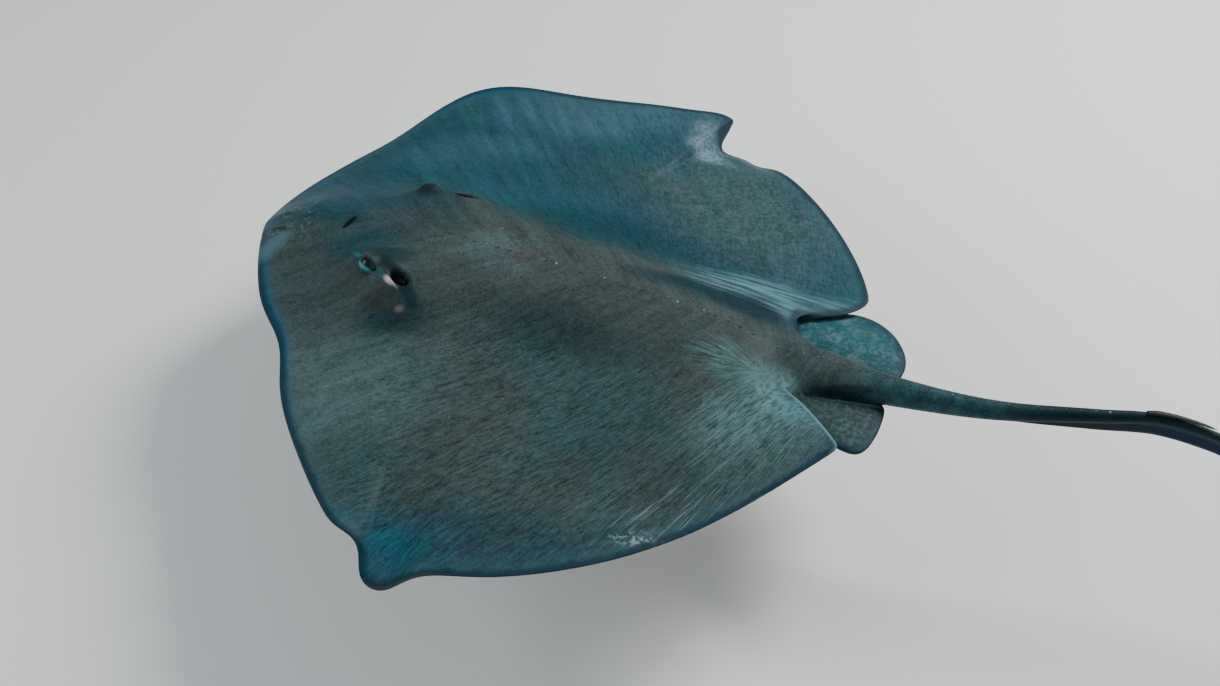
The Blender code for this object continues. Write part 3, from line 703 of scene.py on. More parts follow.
under *= 1 - at_hip * smoothstep(-0.004, 0.001, z) * smoothstep(-0.92, -0.70, normals[:, 2])
tail_line = path_of(TAIL_LINE, TAIL_RINGS)
tail_low = np.interp(x, tail_line[:, 0], tail_line[:, 2]) - tail_radius(x)[1]
fold = (mark == ON_TAIL) * smoothstep(FOLD["start"], FOLD["start"] + 0.05, x)
fold = fold * smoothstep(0.0006, -0.0006, z - tail_low)
points += ON_STAND
for axis in (0, 1):
    for limit, sign in ((cad_box[0][axis], -1), (cad_box[1][axis], 1)):
        over = (points[:, axis] - limit) * sign
        points[:, axis] -= sign * max(0.0, over.max() + BOX_CLEAR) * smoothstep(-0.040, 0.0, over)
mesh.vertices.foreach_set("co", points.astype(np.float32).ravel())
mesh.update()
for name, values in (("edge", np.minimum(edge_far, FAR_INSIDE)), ("under", under), ("fold", fold),
                     ("fin", (mark == ON_FIN).astype(float)), ("slit", slit)):
    mesh.attributes.new(name, "FLOAT", "POINT").data.foreach_set("value", values.astype(np.float32))
mesh.materials.clear()
for face in mesh.polygons:
    face.material_index = 0
    face.use_smooth = True

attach(skin, "root")
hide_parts(*[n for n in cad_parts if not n.startswith(("eye", "sting", "stand"))])

# ---- Skin: the paint ----------------------------------------------------------------------------
# Airbrushed layers under a satin seal: slate brown with fine pale streaks that fan out from the hips,
# blue-black along every edge, warmer on the head, white underneath. Painted shade and painted light follow
# the slopes of the back, the head and the wings, and a cool painted shade covers the far side.
class Tone:
    """A value that varies over a surface; sums written with it become Math nodes."""

    def __init__(self, finish, socket):
        self.finish = finish
        self.socket = socket

    def __add__(self, other):
        return self.finish.math("ADD", self, other)

    def __sub__(self, other):
        return self.finish.math("SUBTRACT", self, other)

    def __rsub__(self, other):
        return self.finish.math("SUBTRACT", other, self)

    def __mul__(self, other):
        return self.finish.math("MULTIPLY", self, other)

    __radd__ = __add__
    __rmul__ = __mul__


def put(value, socket, tree):
    """Links a socket to what feeds it, or sets its value."""
    value = getattr(value, "socket", value)
    if isinstance(value, bpy.types.NodeSocket):
        tree.links.new(value, socket)
    else:
        socket.default_value = value


def add_node(tree, kind, inputs, settings):
    """A new node with its settings and inputs; inputs go by name, or by number when they are a list."""
    made = tree.nodes.new(kind)
    for setting, value in settings.items():
        setattr(made, setting, value)
    for key, value in (inputs.items() if isinstance(inputs, dict) else enumerate(inputs)):
        put(value, made.inputs[key], tree)
    return made


class Finish:
    """The material of one piece, with one way to add a node."""

    def __init__(self, name, **constants):
        self.material = bpy.data.materials.new(name)
        self.material.use_nodes = True
        self.tree = self.material.node_tree
        self.shader = self.tree.nodes["Principled BSDF"]
        for socket, value in constants.items():
            self.shader.inputs[socket.replace("_", " ")].default_value = value

    def node(self, kind, inputs=(), output=0, **settings):
        return Tone(self, add_node(self.tree, kind, inputs, settings).outputs[output])

    def math(self, operation, *values):
        return self.node("ShaderNodeMath", values, operation=operation)

    def vector(self, operation, *values, output="Vector"):
        return self.node("ShaderNodeVectorMath", values, output, operation=operation)

    def place(self):
        return self.node("ShaderNodeTexCoord", output="Object")

    def kept(self, name):
        return self.node("ShaderNodeAttribute", attribute_name=name, output="Fac")

    def parts(self, vector):
        split = self.node("ShaderNodeSeparateXYZ", [vector])
        return [Tone(self, socket) for socket in split.socket.node.outputs]

    def point(self, x, y, z):
        return self.node("ShaderNodeCombineXYZ", [x, y, z])

    def grain(self, vector, scale, detail=3.0, rough=0.5, warp=0.0):
        """Cloudy noise round 0.5."""
        return self.node("ShaderNodeTexNoise", {"Vector": vector, "Scale": scale, "Detail": detail,
                                                "Roughness": rough, "Distortion": warp})

    def step(self, value, low, high):
        """0 below low, 1 above high, eased between; low may be the larger."""
        return self.node("ShaderNodeMapRange", {"Value": value, "From Min": low, "From Max": high},
                         interpolation_type="SMOOTHSTEP")

    def spot(self, vector, at, size, turn, soft):
        """1 inside an oval on the plan of the body, 0 outside it."""
        moved = self.node("ShaderNodeMapping",
                          {"Vector": vector, "Location": (*at, 0.0), "Scale": (*size, 1e3),
                           "Rotation": (0.0, 0.0, turn)}, vector_type="TEXTURE")
        return self.step(self.vector("LENGTH", moved, output="Value"), 1.0 + soft, 1.0 - soft)

    def shade(self, colour, times):
        """A colour made lighter or darker without a change of hue."""
        return self.node("ShaderNodeVectorMath", {"Vector": colour, "Scale": times}, operation="SCALE")

    def mix(self, share, first, second):
        """The first colour, with a share of the second over it."""
        made = add_node(self.tree, "ShaderNodeMix", (), {"data_type": "RGBA"})
        for key, value in (("Factor", share), ("A", first), ("B", second)):
            socket = next(s for s in made.inputs if s.enabled and s.name == key)
            put((*value, 1.0) if isinstance(value, tuple) else value, socket, self.tree)
        return Tone(self, next(s for s in made.outputs if s.enabled))

    def bump(self, height, distance, strength):
        return self.node("ShaderNodeBump", {"Height": height, "Distance": distance, "Strength": strength},
                         output="Normal")

    def feed(self, **sockets):
        for key, tone in sockets.items():
            self.tree.links.new(tone.socket, self.shader.inputs[key.replace("_", " ")])
        return self.material


SLATE = (0.029, 0.063, 0.068)
WARM = (0.038, 0.058, 0.057)
BROWN = (0.044, 0.058, 0.055)
DARK = (0.004, 0.024, 0.028)
TEAL = (0.010, 0.060, 0.079)
DEEP = (0.002, 0.038, 0.052)
BLUE = (0.036, 0.098, 0.128)
NAVY = (0.004, 0.026, 0.046)
MIST = (0.072, 0.125, 0.130)
FOAM = (0.095, 0.250, 0.270)
LILAC = (0.140, 0.225, 0.262)
ROSE = (0.020, 0.044, 0.052)
PALE = (0.62, 0.60, 0.57)
BLUSH = (0.60, 0.42, 0.39)
HIP = (0.748, 0.046)           # where the pale brush of strands at the root of the wing starts
RAYS_FROM = (0.99, -0.47)      # the strands of a wing all point back to this spot beyond the other hip
WANDER_BY = (0.055, 0.055, 0.0)

paint = Finish("skin", Roughness=0.5, IOR=1.4, Specular_IOR_Level=0.14)
here = paint.place()
plan_x, plan_y = paint.parts(here)[:2]
back = plan_x + STAND_AT
out = paint.math("ABSOLUTE", plan_y)
side_mark = paint.math("SIGN", plan_y)
edge = paint.kept("edge")
under = paint.kept("under")
fin = paint.kept("fin")
wander = paint.node("ShaderNodeTexNoise", {"Vector": here, "Scale": 11.0, "Detail": 4.0}, output="Color")
wander = paint.vector("SUBTRACT", wander, (0.5, 0.5, 0.5))
wander = paint.vector("MULTIPLY", wander, WANDER_BY)
exact = paint.point(back, plan_y, 0.0)
exact_both = paint.point(back, out, 0.0)
each = paint.vector("ADD", exact, wander)
both = paint.vector("ADD", exact_both, wander)


def strands(start, across, along, detail=3.0, wave=0.3):
    """Long thin grain that runs out from a spot, a little wavy and not the same on both sides."""
    ahead = start[0] - back
    aside = out - start[1]
    turn = paint.math("ARCTAN2", aside, ahead)
    reach = paint.math("SQRT", ahead * ahead + aside * aside)
    return paint.grain(paint.point(turn * across, reach * along, side_mark * 3.7), 1.0, detail, 0.6, wave)


def washes(ground, *patches):
    """Patches over a ground, each with the plan it is laid out on (each side or both alike, exact or with a
    wandering edge), its middle, half sizes and lean, the softness of its edge, its strength and colour."""
    for where, at, half_size, lean, soft, strength, colour in patches:
        ground = paint.mix(paint.spot(where, at, half_size, lean, soft) * strength, ground, colour)
    return ground


def ragged(value, grain, by):
    """A distance that wanders in and out a little."""
    return value + (grain - 0.5) * by


hair = strands(RAYS_FROM, 300.0, 55.0)
flow = strands(RAYS_FROM, 62.0, 8.0, 4.0)
brush = strands(HIP, 36.0, 30.0, 4.0, 0.9)
long_hair = paint.grain(paint.point(back * 11.0, (plan_y - back * 0.10) * 170.0, 0.0), 1.0, 3.0, 0.6, 0.2)
mottle = paint.grain(here, 46.0, 4.0, 0.6)
cloud = paint.grain(here, 7.0, 4.0, 0.55)
freckle = paint.grain(here, 150.0, 3.0, 0.6)
fleck = paint.grain(here, 380.0, 2.0, 0.6)

# Airbrushed washes, from the widest to the smallest, with painted shade and painted light among them.
ground = paint.mix(paint.step(cloud, 0.38, 0.62), SLATE, WARM)
# Teal over the far side: a cool painted shade on the slopes that turn away from the light.
far_side_shade = paint.step(plan_y, 0.05, 0.15)
ground = paint.mix(far_side_shade * 0.95, ground, TEAL)
ground = washes(
    ground,
    (both, (0.47, 0.0), (0.36, 0.105), 0.0, 0.5, 0.75, BROWN),
    # Warmer over the near side of the head: painted light.
    (each, (0.20, -0.10), (0.19, 0.14), 0.0, 0.45, 0.55, WARM),
    (each, (0.10, 0.10), (0.13, 0.10), 0.5, 0.5, 0.75, TEAL),
    # Paler over the front of the near wing: painted light.
    (each, (0.26, -0.27), (0.13, 0.09), 0.6, 0.6, 0.50, MIST),
    (each, (0.155, 0.02), (0.12, 0.035), 0.1, 0.6, 0.6, DEEP),
    # Painted shade in the valley between the back and the far wing.
    (each, (0.35, 0.16), (0.12, 0.035), 0.2, 0.6, 0.6, (0.012, 0.074, 0.098)),
    # Painted shade along the far slope of the trunk.
    (each, (0.50, 0.14), (0.17, 0.055), 0.1, 0.6, 0.85, DEEP),
    # Painted shadow in the saddle before the far hip.
    (each, (0.655, 0.050), (0.11, 0.024), 0.1, 0.5, 0.95, (0.0, 0.021, 0.032)),
    (each, (0.60, 0.27), (0.14, 0.10), -0.6, 0.6, 0.45, (0.042, 0.078, 0.078)),
    (each, (0.21, 0.235), (0.11, 0.030), 0.6, 0.7, 0.55, (0.032, 0.088, 0.108)),
    (each, (0.44, 0.27), (0.11, 0.055), 0.0, 0.7, 0.55, (0.026, 0.060, 0.064)),
    (each, (0.34, 0.40), (0.17, 0.045), 0.45, 0.6, 0.7, BLUE),
    # Painted shade in the hollow of the near flank behind the head.
    (each, (0.49, -0.090), (0.09, 0.032), 0.0, 0.6, 0.5, DARK),
    (each, (0.57, -0.42), (0.17, 0.060), 0.1, 0.6, 0.55, DEEP),
    (each, (0.432, -0.475), (0.080, 0.055), 0.2, 0.6, 0.85, (0.010, 0.080, 0.118)),
    # Paler on the rear of the near wing: painted light.
    (each, (0.76, -0.15), (0.085, 0.06), 0.6, 0.6, 0.5, MIST),
    (each, (0.66, -0.22), (0.11, 0.09), 0.6, 0.6, 0.5, (0.018, 0.040, 0.043)),
    (each, (0.755, 0.0), (0.07, 0.030), 0.0, 0.6, 0.6, (0.024, 0.044, 0.046)),
    # Lighter on the top of the back: painted light.
    (each, (0.37, -0.005), (0.06, 0.035), 0.3, 0.6, 0.4, MIST),
    (each, (0.22, 0.075), (0.055, 0.035), 0.0, 0.5, 0.8, ROSE),
    # A warm painted highlight on the crest of the back.
    (each, (0.41, 0.01), (0.035, 0.018), 0.4, 0.6, 0.5, (0.058, 0.056, 0.055)),
    (each, (0.207, 0.032), (0.042, 0.026), 0.2, 0.7, 0.65, (0.050, 0.056, 0.062)),
    (each, (0.195, -0.045), (0.055, 0.026), 0.1, 0.7, 0.8, (0.006, 0.046, 0.064)),
    (each, (0.150, 0.060), (0.09, 0.05), 0.2, 0.6, 0.6, (0.004, 0.050, 0.068)),
    (each, (0.240, -0.068), (0.040, 0.014), 0.1, 0.5, 0.8, DARK),
    # Painted shade where the skin falls away beyond the near cheek.
    (each, (0.285, -0.140), (0.048, 0.030), 0.1, 0.6, 0.8, DARK),
    (each, (0.257, -0.120), (0.024, 0.017), 0.1, 0.5, 0.8, (0.020, 0.028, 0.025)),
    # Painted shadow behind the near cheek.
    (exact, (0.291, -0.109), (0.022, 0.008), -0.69, 0.6, 0.85, (0.003, 0.020, 0.026)),
    (each, (0.520, 0.495), (0.030, 0.022), -0.7, 0.5, 0.8, NAVY))

# Strands and speckle break up the washes: fine on the wings, long and faint at the front.
on_wing = paint.step(out, 0.04, 0.14) * paint.step(back, 0.26, 0.44)
fine_tone = (hair - 0.5) * (on_wing * (1.9 - far_side_shade * 0.9) + 0.5)
flow_tone = (flow - 0.5) * (1.25 - on_wing * 0.7)
speckle = (mottle - 0.5) * 0.5 + (freckle - 0.5) * 0.9 + (fleck - 0.5) * 1.4
rough_tone = speckle * (1.0 - far_side_shade * 0.35)
ground = paint.shade(ground, 1.0 + fine_tone + flow_tone + rough_tone)
stipple = paint.step(freckle, 0.36, 0.62)
fan = (paint.spot(each, (0.706, -0.050), (0.046, 0.025), 0.10, 0.8) * paint.step(brush, 0.42, 0.64) * 0.75
       + paint.spot(each, (0.800, -0.083), (0.068, 0.026), -0.45, 0.7) * (0.12 + stipple * 0.6)
       + paint.spot(each, (0.755, -0.115), (0.055, 0.045), 0.9, 0.8) * paint.step(hair, 0.40, 0.62) * 0.5)
ground = paint.mix(fan, ground, FOAM)
scores = (paint.spot(exact, (0.715, -0.315), (0.075, 0.045), 0.25, 0.8)
          + paint.spot(exact, (0.745, -0.22), (0.05, 0.08), 0.0, 0.8) * 0.6)
scores = scores * paint.step(strands(RAYS_FROM, 260.0, 13.0), 0.53, 0.68)
ground = paint.mix(scores * 0.6, ground, (0.15, 0.25, 0.28))
nicked = paint.spot(exact, (0.703, -0.343), (0.026, 0.008), 0.35, 0.7) * paint.step(freckle, 0.48, 0.60)
ground = paint.mix(nicked * 0.8, ground, (0.28, 0.36, 0.42))
far_fan = paint.spot(each, (0.735, 0.105), (0.125, 0.030), 0.10, 0.6) * paint.step(long_hair, 0.38, 0.60)
ground = paint.mix(far_fan * 0.9, ground, FOAM)
patches = paint.spot(each, (0.61, 0.27), (0.15, 0.10), -0.6, 0.7)
patches = patches * paint.step(freckle + mottle * 0.6, 0.66, 1.04)
ground = paint.mix(patches * 0.50, ground, (0.090, 0.118, 0.110))
hook = (paint.spot(each, (0.494, 0.440), (0.046, 0.019), -1.17, 0.7)
        + paint.spot(each, (0.518, 0.412), (0.034, 0.014), -0.2, 0.7))
ground = paint.mix(hook * (0.30 + stipple * 0.50), ground, LILAC)

# The margins: blue, then navy along the very edge, with a painted highlight on the edge behind the near hip.
ground = paint.mix(paint.step(ragged(edge, mottle, 0.03), 0.034, 0.008) * 0.30, ground, BLUE)
front_band = paint.step(ragged(edge, cloud, 0.02), 0.019, 0.009) * paint.step(back, 0.30, 0.16)
ground = paint.mix(front_band * 0.7, ground, (0.012, 0.074, 0.134))
margin = paint.step(ragged(edge, mottle, 0.008), 0.013, 0.004)
# A painted highlight: a pale line along the rear edge of the near wing by the hip, where the navy gives way.
highlight_rim = paint.spot(exact, (0.822, -0.102), (0.074, 0.022), -0.72, 0.4)
ground = paint.mix(margin * (0.85 - highlight_rim * 0.65), ground, NAVY)
lip = highlight_rim * paint.step(ragged(edge, freckle, 0.003), 0.0045, 0.0015)
ground = paint.mix(lip * 0.75, ground, (0.12, 0.26, 0.30))
ground = paint.mix(paint.step(freckle, 0.68, 0.76) * 0.3, ground, MIST)

# The pelvic fins: brown-grey on the left, slate blue on the right.
fin_left = paint.mix(paint.step(freckle, 0.40, 0.65), (0.024, 0.050, 0.055), (0.044, 0.080, 0.088))
fin_right = paint.mix(paint.step(ragged(mottle, freckle, 0.5), 0.42, 0.68),
                      (0.014, 0.078, 0.096), (0.052, 0.114, 0.130))
fin_colour = paint.mix(paint.step(plan_y, -0.01, 0.01), fin_left, fin_right)
fin_colour = paint.mix(paint.step(ragged(edge, mottle, 0.02), 0.016, 0.002) * 0.8, fin_colour, NAVY)
fin_colour = paint.shade(fin_colour, 0.80 + paint.step(out, 0.03, 0.09) * 0.28 + rough_tone)
ground = paint.mix(fin, ground, fin_colour)

# Small marks: scars, the scuffed snout with painted shade in its crease, dark patches at the eyes, painted
# sheen on the near lids, painted highlights on the near spiracle's rim, and painted shade in the crease by
# the tail.
ground = washes(
    ground,
    (each, (0.054, -0.060), (0.024, 0.017), 1.2, 0.5, 0.6, (0.075, 0.170, 0.215)),
    # Painted shade in a crease of the snout.
    (exact, (0.050, -0.030), (0.017, 0.0028), -0.2, 0.6, 0.9, DARK),
    (exact, (0.153, -0.015), (0.0130, 0.0045), 1.25, 0.25, 0.97, (0.001, 0.005, 0.007)),
    (exact, (0.257, -0.147), (0.0050, 0.0022), 0.9, 0.4, 0.7, (0.004, 0.012, 0.014)),
    (exact, (0.288, -0.129), (0.0055, 0.0040), 0.4, 0.8, 0.6, (0.16, 0.13, 0.12)),
    (exact, (0.222, 0.076), (0.022, 0.014), 0.0, 0.7, 0.9, (0.006, 0.018, 0.022)),
    (exact, (0.250, -0.0825), (0.019, 0.0070), -0.30, 0.8, 0.80, (0.003, 0.018, 0.023)),
    # A teal streak of painted sheen along the front and the lower lid of the near eye.
    (exact, (0.2010, -0.0745), (0.0115, 0.0022), -0.49, 0.8, 0.85, (0.014, 0.165, 0.205)),
    (exact, (0.2435, -0.0945), (0.0105, 0.0022), -0.50, 0.8, 0.80, (0.010, 0.105, 0.132)),
    # Painted highlights round the rim of the near spiracle.
    (exact, (0.2590, -0.1012), (0.0072, 0.0026), -0.36, 0.8, 0.95, (0.66, 0.58, 0.60)),
    (exact, (0.2665, -0.1042), (0.0075, 0.0012), -0.40, 0.8, 0.7, (0.30, 0.29, 0.32)),
    (exact, (0.2745, -0.0905), (0.0042, 0.0008), 0.45, 0.5, 0.8, (0.42, 0.50, 0.54)),
    # Painted shade in the crease between the near fin and the tail, with a pale line beside it.
    (exact, (0.850, -0.0245), (0.046, 0.0032), 0.23, 0.5, 0.9, (0.002, 0.010, 0.014)),
    (exact, (0.850, -0.0300), (0.042, 0.0016), 0.23, 0.6, 0.6, (0.06, 0.17, 0.19)))
scuffs = paint.spot(exact, (0.050, -0.020), (0.045, 0.050), 0.5, 0.6) * paint.step(freckle, 0.55, 0.66)
ground = paint.mix(scuffs * 0.55, ground, (0.10, 0.17, 0.20))
# Painted shade: the inside of each spiracle is painted near black to deepen the pit.
hole_size = (SPIRACLE["long"] * 0.92, SPIRACLE["wide"] * 0.92)
hole = paint.spot(exact_both, SPIRACLE["at"], hole_size, SPIRACLE["turn"], 0.25)
ground = paint.mix(hole * 0.97, ground, (0.0006, 0.003, 0.005))

# The tail darkens to blue-black, with a navy fold; the belly is white with grey-brown margins.
on_tail = paint.step(back, 0.80, 0.92) * paint.step(out, 0.080, 0.050)
tail_tone = paint.mix(paint.step(mottle, 0.35, 0.65), (0.012, 0.046, 0.056), (0.022, 0.070, 0.084))
tail_tone = paint.mix(paint.step(back, 0.96, 1.10), tail_tone, (0.0035, 0.018, 0.024))
tail_tone = paint.shade(tail_tone, 1.0 + rough_tone * 1.2)
ground = paint.mix(on_tail * (1 - fin), ground, tail_tone)
belly = paint.mix(paint.step(mottle, 0.40, 0.70) * 0.35, PALE, BLUSH)
dusk = paint.step(ragged(edge, mottle, 0.03), 0.040, 0.010)
dusk = dusk * paint.step(ragged(out, mottle, 0.04), 0.040, 0.105)
belly = paint.mix(dusk * 0.95, belly, (0.055, 0.060, 0.062))
belly = paint.mix(on_tail, belly, (0.075, 0.200, 0.250))
openings = paint.kept("slit") + paint.spot(exact_both, NOSTRIL["at"], (0.0060, 0.0036), NOSTRIL["turn"], 0.4)
for i in range(5):
    gill_at = (GILLS["front"] + GILLS["step"] * i + 0.0022, gill_middle(i))
    openings = openings + paint.spot(exact_both, gill_at, (0.0016, GILLS["length"] * 0.46), 0.0, 0.5)
belly = paint.mix(openings * 0.9, belly, (0.10, 0.055, 0.050))
skin_colour = paint.mix(under, ground, belly)
fold_tone = paint.mix(paint.step(back, 1.10, 1.24), (0.001, 0.006, 0.008), (0.002, 0.014, 0.036))
skin_colour = paint.mix(paint.kept("fold") * 0.97, skin_colour, fold_tone)
height = hair * 0.50 + fleck * 0.25 + freckle * 0.35 + mottle * 0.3
skin.data.materials.append(paint.feed(
    Base_Color=skin_colour, Roughness=paint.step(mottle, 0.2, 0.8) * 0.14 + 0.42,
    Normal=paint.bump(height, 0.0015, 0.45)))

# ==== Tubercles ==================================================================================
# Low enamel thorns in one row from the nape to the sting, with a short row on each shoulder. Each is a
# blunt cone a few millimetres high that leans towards the tail, its foot sunk in the skin.


class Nodes:
    """A Geometry Nodes tree with named inputs."""

    def __init__(self, name, *sockets):
        self.tree = bpy.data.node_groups.new(name, "GeometryNodeTree")
        self.tree.interface.new_socket("Geometry", in_out="OUTPUT", socket_type="NodeSocketGeometry")
        self.tree.interface.new_socket("Geometry", in_out="INPUT", socket_type="NodeSocketGeometry")
        self.names = {}
        for socket, kind in sockets:
            self.names[socket] = self.tree.interface.new_socket(
                socket, in_out="INPUT", socket_type="NodeSocket" + kind).identifier
        self.inputs = self.tree.nodes.new("NodeGroupInput").outputs

    def add(self, kind, inputs, output=0, **settings):
        return add_node(self.tree, kind, inputs, settings).outputs[output]

    def stops(self, spacing):
        """Points spaced evenly along the lines of edges that the tree is given."""
        line = self.add("GeometryNodeMeshToCurve", [self.inputs["Geometry"]])
        even = self.add("GeometryNodeResampleCurve", {"Curve": line, "Length": spacing}, mode="LENGTH")
        return self.add("GeometryNodeCurveToPoints", {"Curve": even}, "Points", mode="EVALUATED")

    def varied(self, low, high, kind="FLOAT"):
        """A random number or vector for each point."""
        return self.add("FunctionNodeRandomValue", {"Min": low, "Max": high, "Seed": self.inputs["Seed"]},
                        "Value", data_type=kind)

    def spike(self, around, rings, top, foot):
        """A cone of unit height on the origin."""
        return self.add("GeometryNodeMeshCone",
                        {"Vertices": around, "Side Segments": rings, "Radius Top": top,
                         "Radius Bottom": foot, "Depth": 1.0}, "Mesh", fill_type="TRIANGLE_FAN")

    def planted(self, stops, piece, turned, size):
        """A copy of a piece on each point."""
        return self.add("GeometryNodeInstanceOnPoints",
                        {"Points": stops, "Instance": piece, "Rotation": turned, "Scale": size}, "Instances")

    def finish(self, geometry, material):
        solid = self.add("GeometryNodeRealizeInstances", [geometry])
        shown = self.add("GeometryNodeSetMaterial", {"Geometry": solid, "Material": material})
        last = self.tree.nodes.new("NodeGroupOutput")
        self.tree.links.new(shown, last.inputs[0])

    def made_on(self, name, base, **values):
        """The tree's result on a base mesh, as a plain mesh object; names of inputs use _ for a space."""
        holder = bpy.data.objects.new(name + "_base", base)
        bpy.context.scene.collection.objects.link(holder)
        grower = holder.modifiers.new("grow", "NODES")
        grower.node_group = self.tree
        for key, value in values.items():
            grower[self.names[key.replace("_", " ")]] = value
        shown = holder.evaluated_get(bpy.context.evaluated_depsgraph_get())
        made = bpy.data.objects.new(name, bpy.data.meshes.new_from_object(shown))
        bpy.data.objects.remove(holder)
        bpy.context.scene.collection.objects.link(made)
        for face in made.data.polygons:
            face.use_smooth = True
        return made


enamel = Finish("enamel", Roughness=0.42, IOR=1.5)
worn = enamel.grain(enamel.place(), 260.0, 3.0)
patchy = enamel.grain(enamel.place(), 30.0, 2.0)
enamel_colour = enamel.mix(enamel.step(patchy, 0.50, 0.68), (0.040, 0.068, 0.070), (0.26, 0.32, 0.31))
enamel_colour = enamel.shade(enamel_colour, worn * 0.9 + 0.55)
enamel_skin = enamel.feed(Base_Color=enamel_colour, Roughness=worn * 0.2 + 0.32,
                          Normal=enamel.bump(worn, 0.0004, 0.3))

rows = Nodes("thorn_rows", ("Skin", "Object"), ("Spacing", "Float"), ("Wander", "Float"), ("Foot", "Float"),
             ("Height", "Float"), ("Seed", "Int"))
skin_mesh = rows.add("GeometryNodeObjectInfo", {"Object": rows.inputs["Skin"]}, "Geometry")
stray = rows.varied((-1.0, -1.0, 0.0), (1.0, 1.0, 0.0), "FLOAT_VECTOR")
stray = rows.add("ShaderNodeVectorMath", {0: stray, "Scale": rows.inputs["Wander"]}, operation="SCALE")
over = rows.add("GeometryNodeSetPosition", {"Geometry": rows.stops(rows.inputs["Spacing"]), "Offset": stray})
above_skin = rows.add("ShaderNodeVectorMath", [rows.add("GeometryNodeInputPosition", []), (0.0, 0.0, 0.05)],
                      operation="ADD")
drop = {"Target Geometry": skin_mesh, "Source Position": above_skin, "Ray Direction": (0.0, 0.0, -1.0),
        "Ray Length": 0.2}
landing = rows.add("GeometryNodeRaycast", drop, "Hit Position")
facing = rows.add("GeometryNodeRaycast", drop, "Hit Normal")
landed = rows.add("GeometryNodeSetPosition", {"Geometry": over, "Position": landing})
lean_back = rows.add("ShaderNodeVectorMath", [facing, (0.75, 0.0, 0.0)], operation="ADD")
upright = rows.add("FunctionNodeAlignRotationToVector", {"Vector": lean_back}, axis="Z")
sizes = rows.add("ShaderNodeCombineXYZ", [rows.inputs["Foot"], rows.inputs["Foot"], rows.inputs["Height"]])
thorn = rows.add("GeometryNodeTransform", {"Geometry": rows.spike(12, 5, 0.12, 1.0),
                                           "Translation": (0.0, 0.0, -0.0006), "Scale": sizes})
row = rows.planted(landed, thorn, upright, rows.varied(0.60, 1.15))
rows.finish(row, enamel_skin)


def edge_line(name, places):
    """A line of edges for a row of thorns or hooks to follow."""
    mesh = bpy.data.meshes.new(name)
    mesh.from_pydata([tuple(place) for place in places], [(i, i + 1) for i in range(len(places) - 1)], [])
    return mesh


OVER_BACK = 0.09
SHOULDER_ROW = ((0.352, 0.040), (0.380, 0.043), (0.425, 0.045))
nape_to_sting = [(x, 0.0, OVER_BACK) for x in np.linspace(0.315, 0.84, 12)]
nape_to_sting += [(x, y, level + 0.02) for x, y, level in path_of(TAIL_LINE, 60) if 0.86 < x < 1.17]
thorn_pieces = [rows.made_on("thorns_midline", edge_line("midline", np.array(nape_to_sting) + ON_STAND),
                             Skin=skin, Spacing=0.0165, Wander=0.0014, Foot=0.0021, Height=0.0031, Seed=3)]
for side, word in SIDES:
    shoulder = np.array([(x, y * side, OVER_BACK) for x, y in SHOULDER_ROW])
    thorn_pieces.append(rows.made_on("thorns_shoulder_" + word, edge_line("shoulder", shoulder + ON_STAND),
                                     Skin=skin, Spacing=0.0135, Wander=0.0012, Foot=0.0019, Height=0.0027,
                                     Seed=7 + side))
for thorns in thorn_pieces:
    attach(thorns, "root")

# ==== Sting ======================================================================================
# A flat tapering blade of dark bone rooted on the tail, with a groove down its back and a row of small
# hooks that point forwards on each edge.
STING = dict(root=1.186, length=0.080, width=0.0074, thick=0.0036, rise=0.004)
BLADE_STATIONS = 60
BLADE_AROUND = 24
BLADE_SKIN = 0.0003
bone = Finish("dark_bone", Roughness=0.5, IOR=1.45, Specular_IOR_Level=0.25)
bone_x, bone_y = bone.parts(bone.place())[:2]
run_lines = bone.grain(bone.point(bone_x * 60.0, bone_y * 1400.0, 0.0), 1.0, 3.0)
bone_skin = bone.feed(Base_Color=bone.mix(run_lines, (0.004, 0.007, 0.010), (0.018, 0.022, 0.024)),
                      Roughness=run_lines * 0.2 + 0.45, Normal=bone.bump(run_lines, 0.0001, 0.2))
tail_path = path_of(TAIL_LINE, 900)
tail_reach = np.concatenate([[0.0], np.cumsum(np.linalg.norm(np.diff(tail_path, axis=0), axis=1))])
stations = np.linspace(0.0, 1.0, BLADE_STATIONS)
sting_reach = np.interp(STING["root"], tail_path[:, 0], tail_reach) + stations * STING["length"]
sting_line = np.column_stack([np.interp(sting_reach, tail_reach, tail_path[:, axis]) for axis in range(3)])


def headings(line):
    """Unit vectors along a line, one for each of its points."""
    runs = np.gradient(line, axis=0)
    return runs / np.linalg.norm(runs, axis=1)[:, None]


blade = []
blade_edges = {1: [], -1: []}
for f, on_line, run in zip(stations, sting_line, headings(sting_line)):
    aside = np.array([-run[1], run[0], 0.0])
    aside /= np.linalg.norm(aside)
    up = np.cross(run, aside)
    half_width = STING["width"] / 2 * (1 - f) ** 0.55 * (0.75 + 0.25 * min(1, f / 0.12)) + BLADE_SKIN
    half_thick = STING["thick"] / 2 * (1 - f) ** 0.6 + BLADE_SKIN
    clear = float(tail_radius(on_line[0])[1]) + float(leaf_depth(on_line[0], KEEL, "highest"))
    middle = on_line + up * (clear + half_thick * (0.4 + 0.6 * min(1, f / 0.15)) + STING["rise"] * f)
    middle = middle + ON_STAND
    for turn in np.linspace(0, 2 * math.pi, BLADE_AROUND, endpoint=False):
        c, s = math.cos(turn), math.sin(turn)
        sunk = 0.28 * math.exp(-(c / 0.22) ** 2) * (s > 0)
        blade.append(middle + aside * half_width * c + up * half_thick * s * (1 - sunk))
    for side, _ in SIDES:
        blade_edges[side].append(middle + aside * half_width * 0.92 * side)
sting = mesh_object("sting_blade", blade, tube_faces(BLADE_STATIONS, BLADE_AROUND))
sting.data.materials.append(bone_skin)

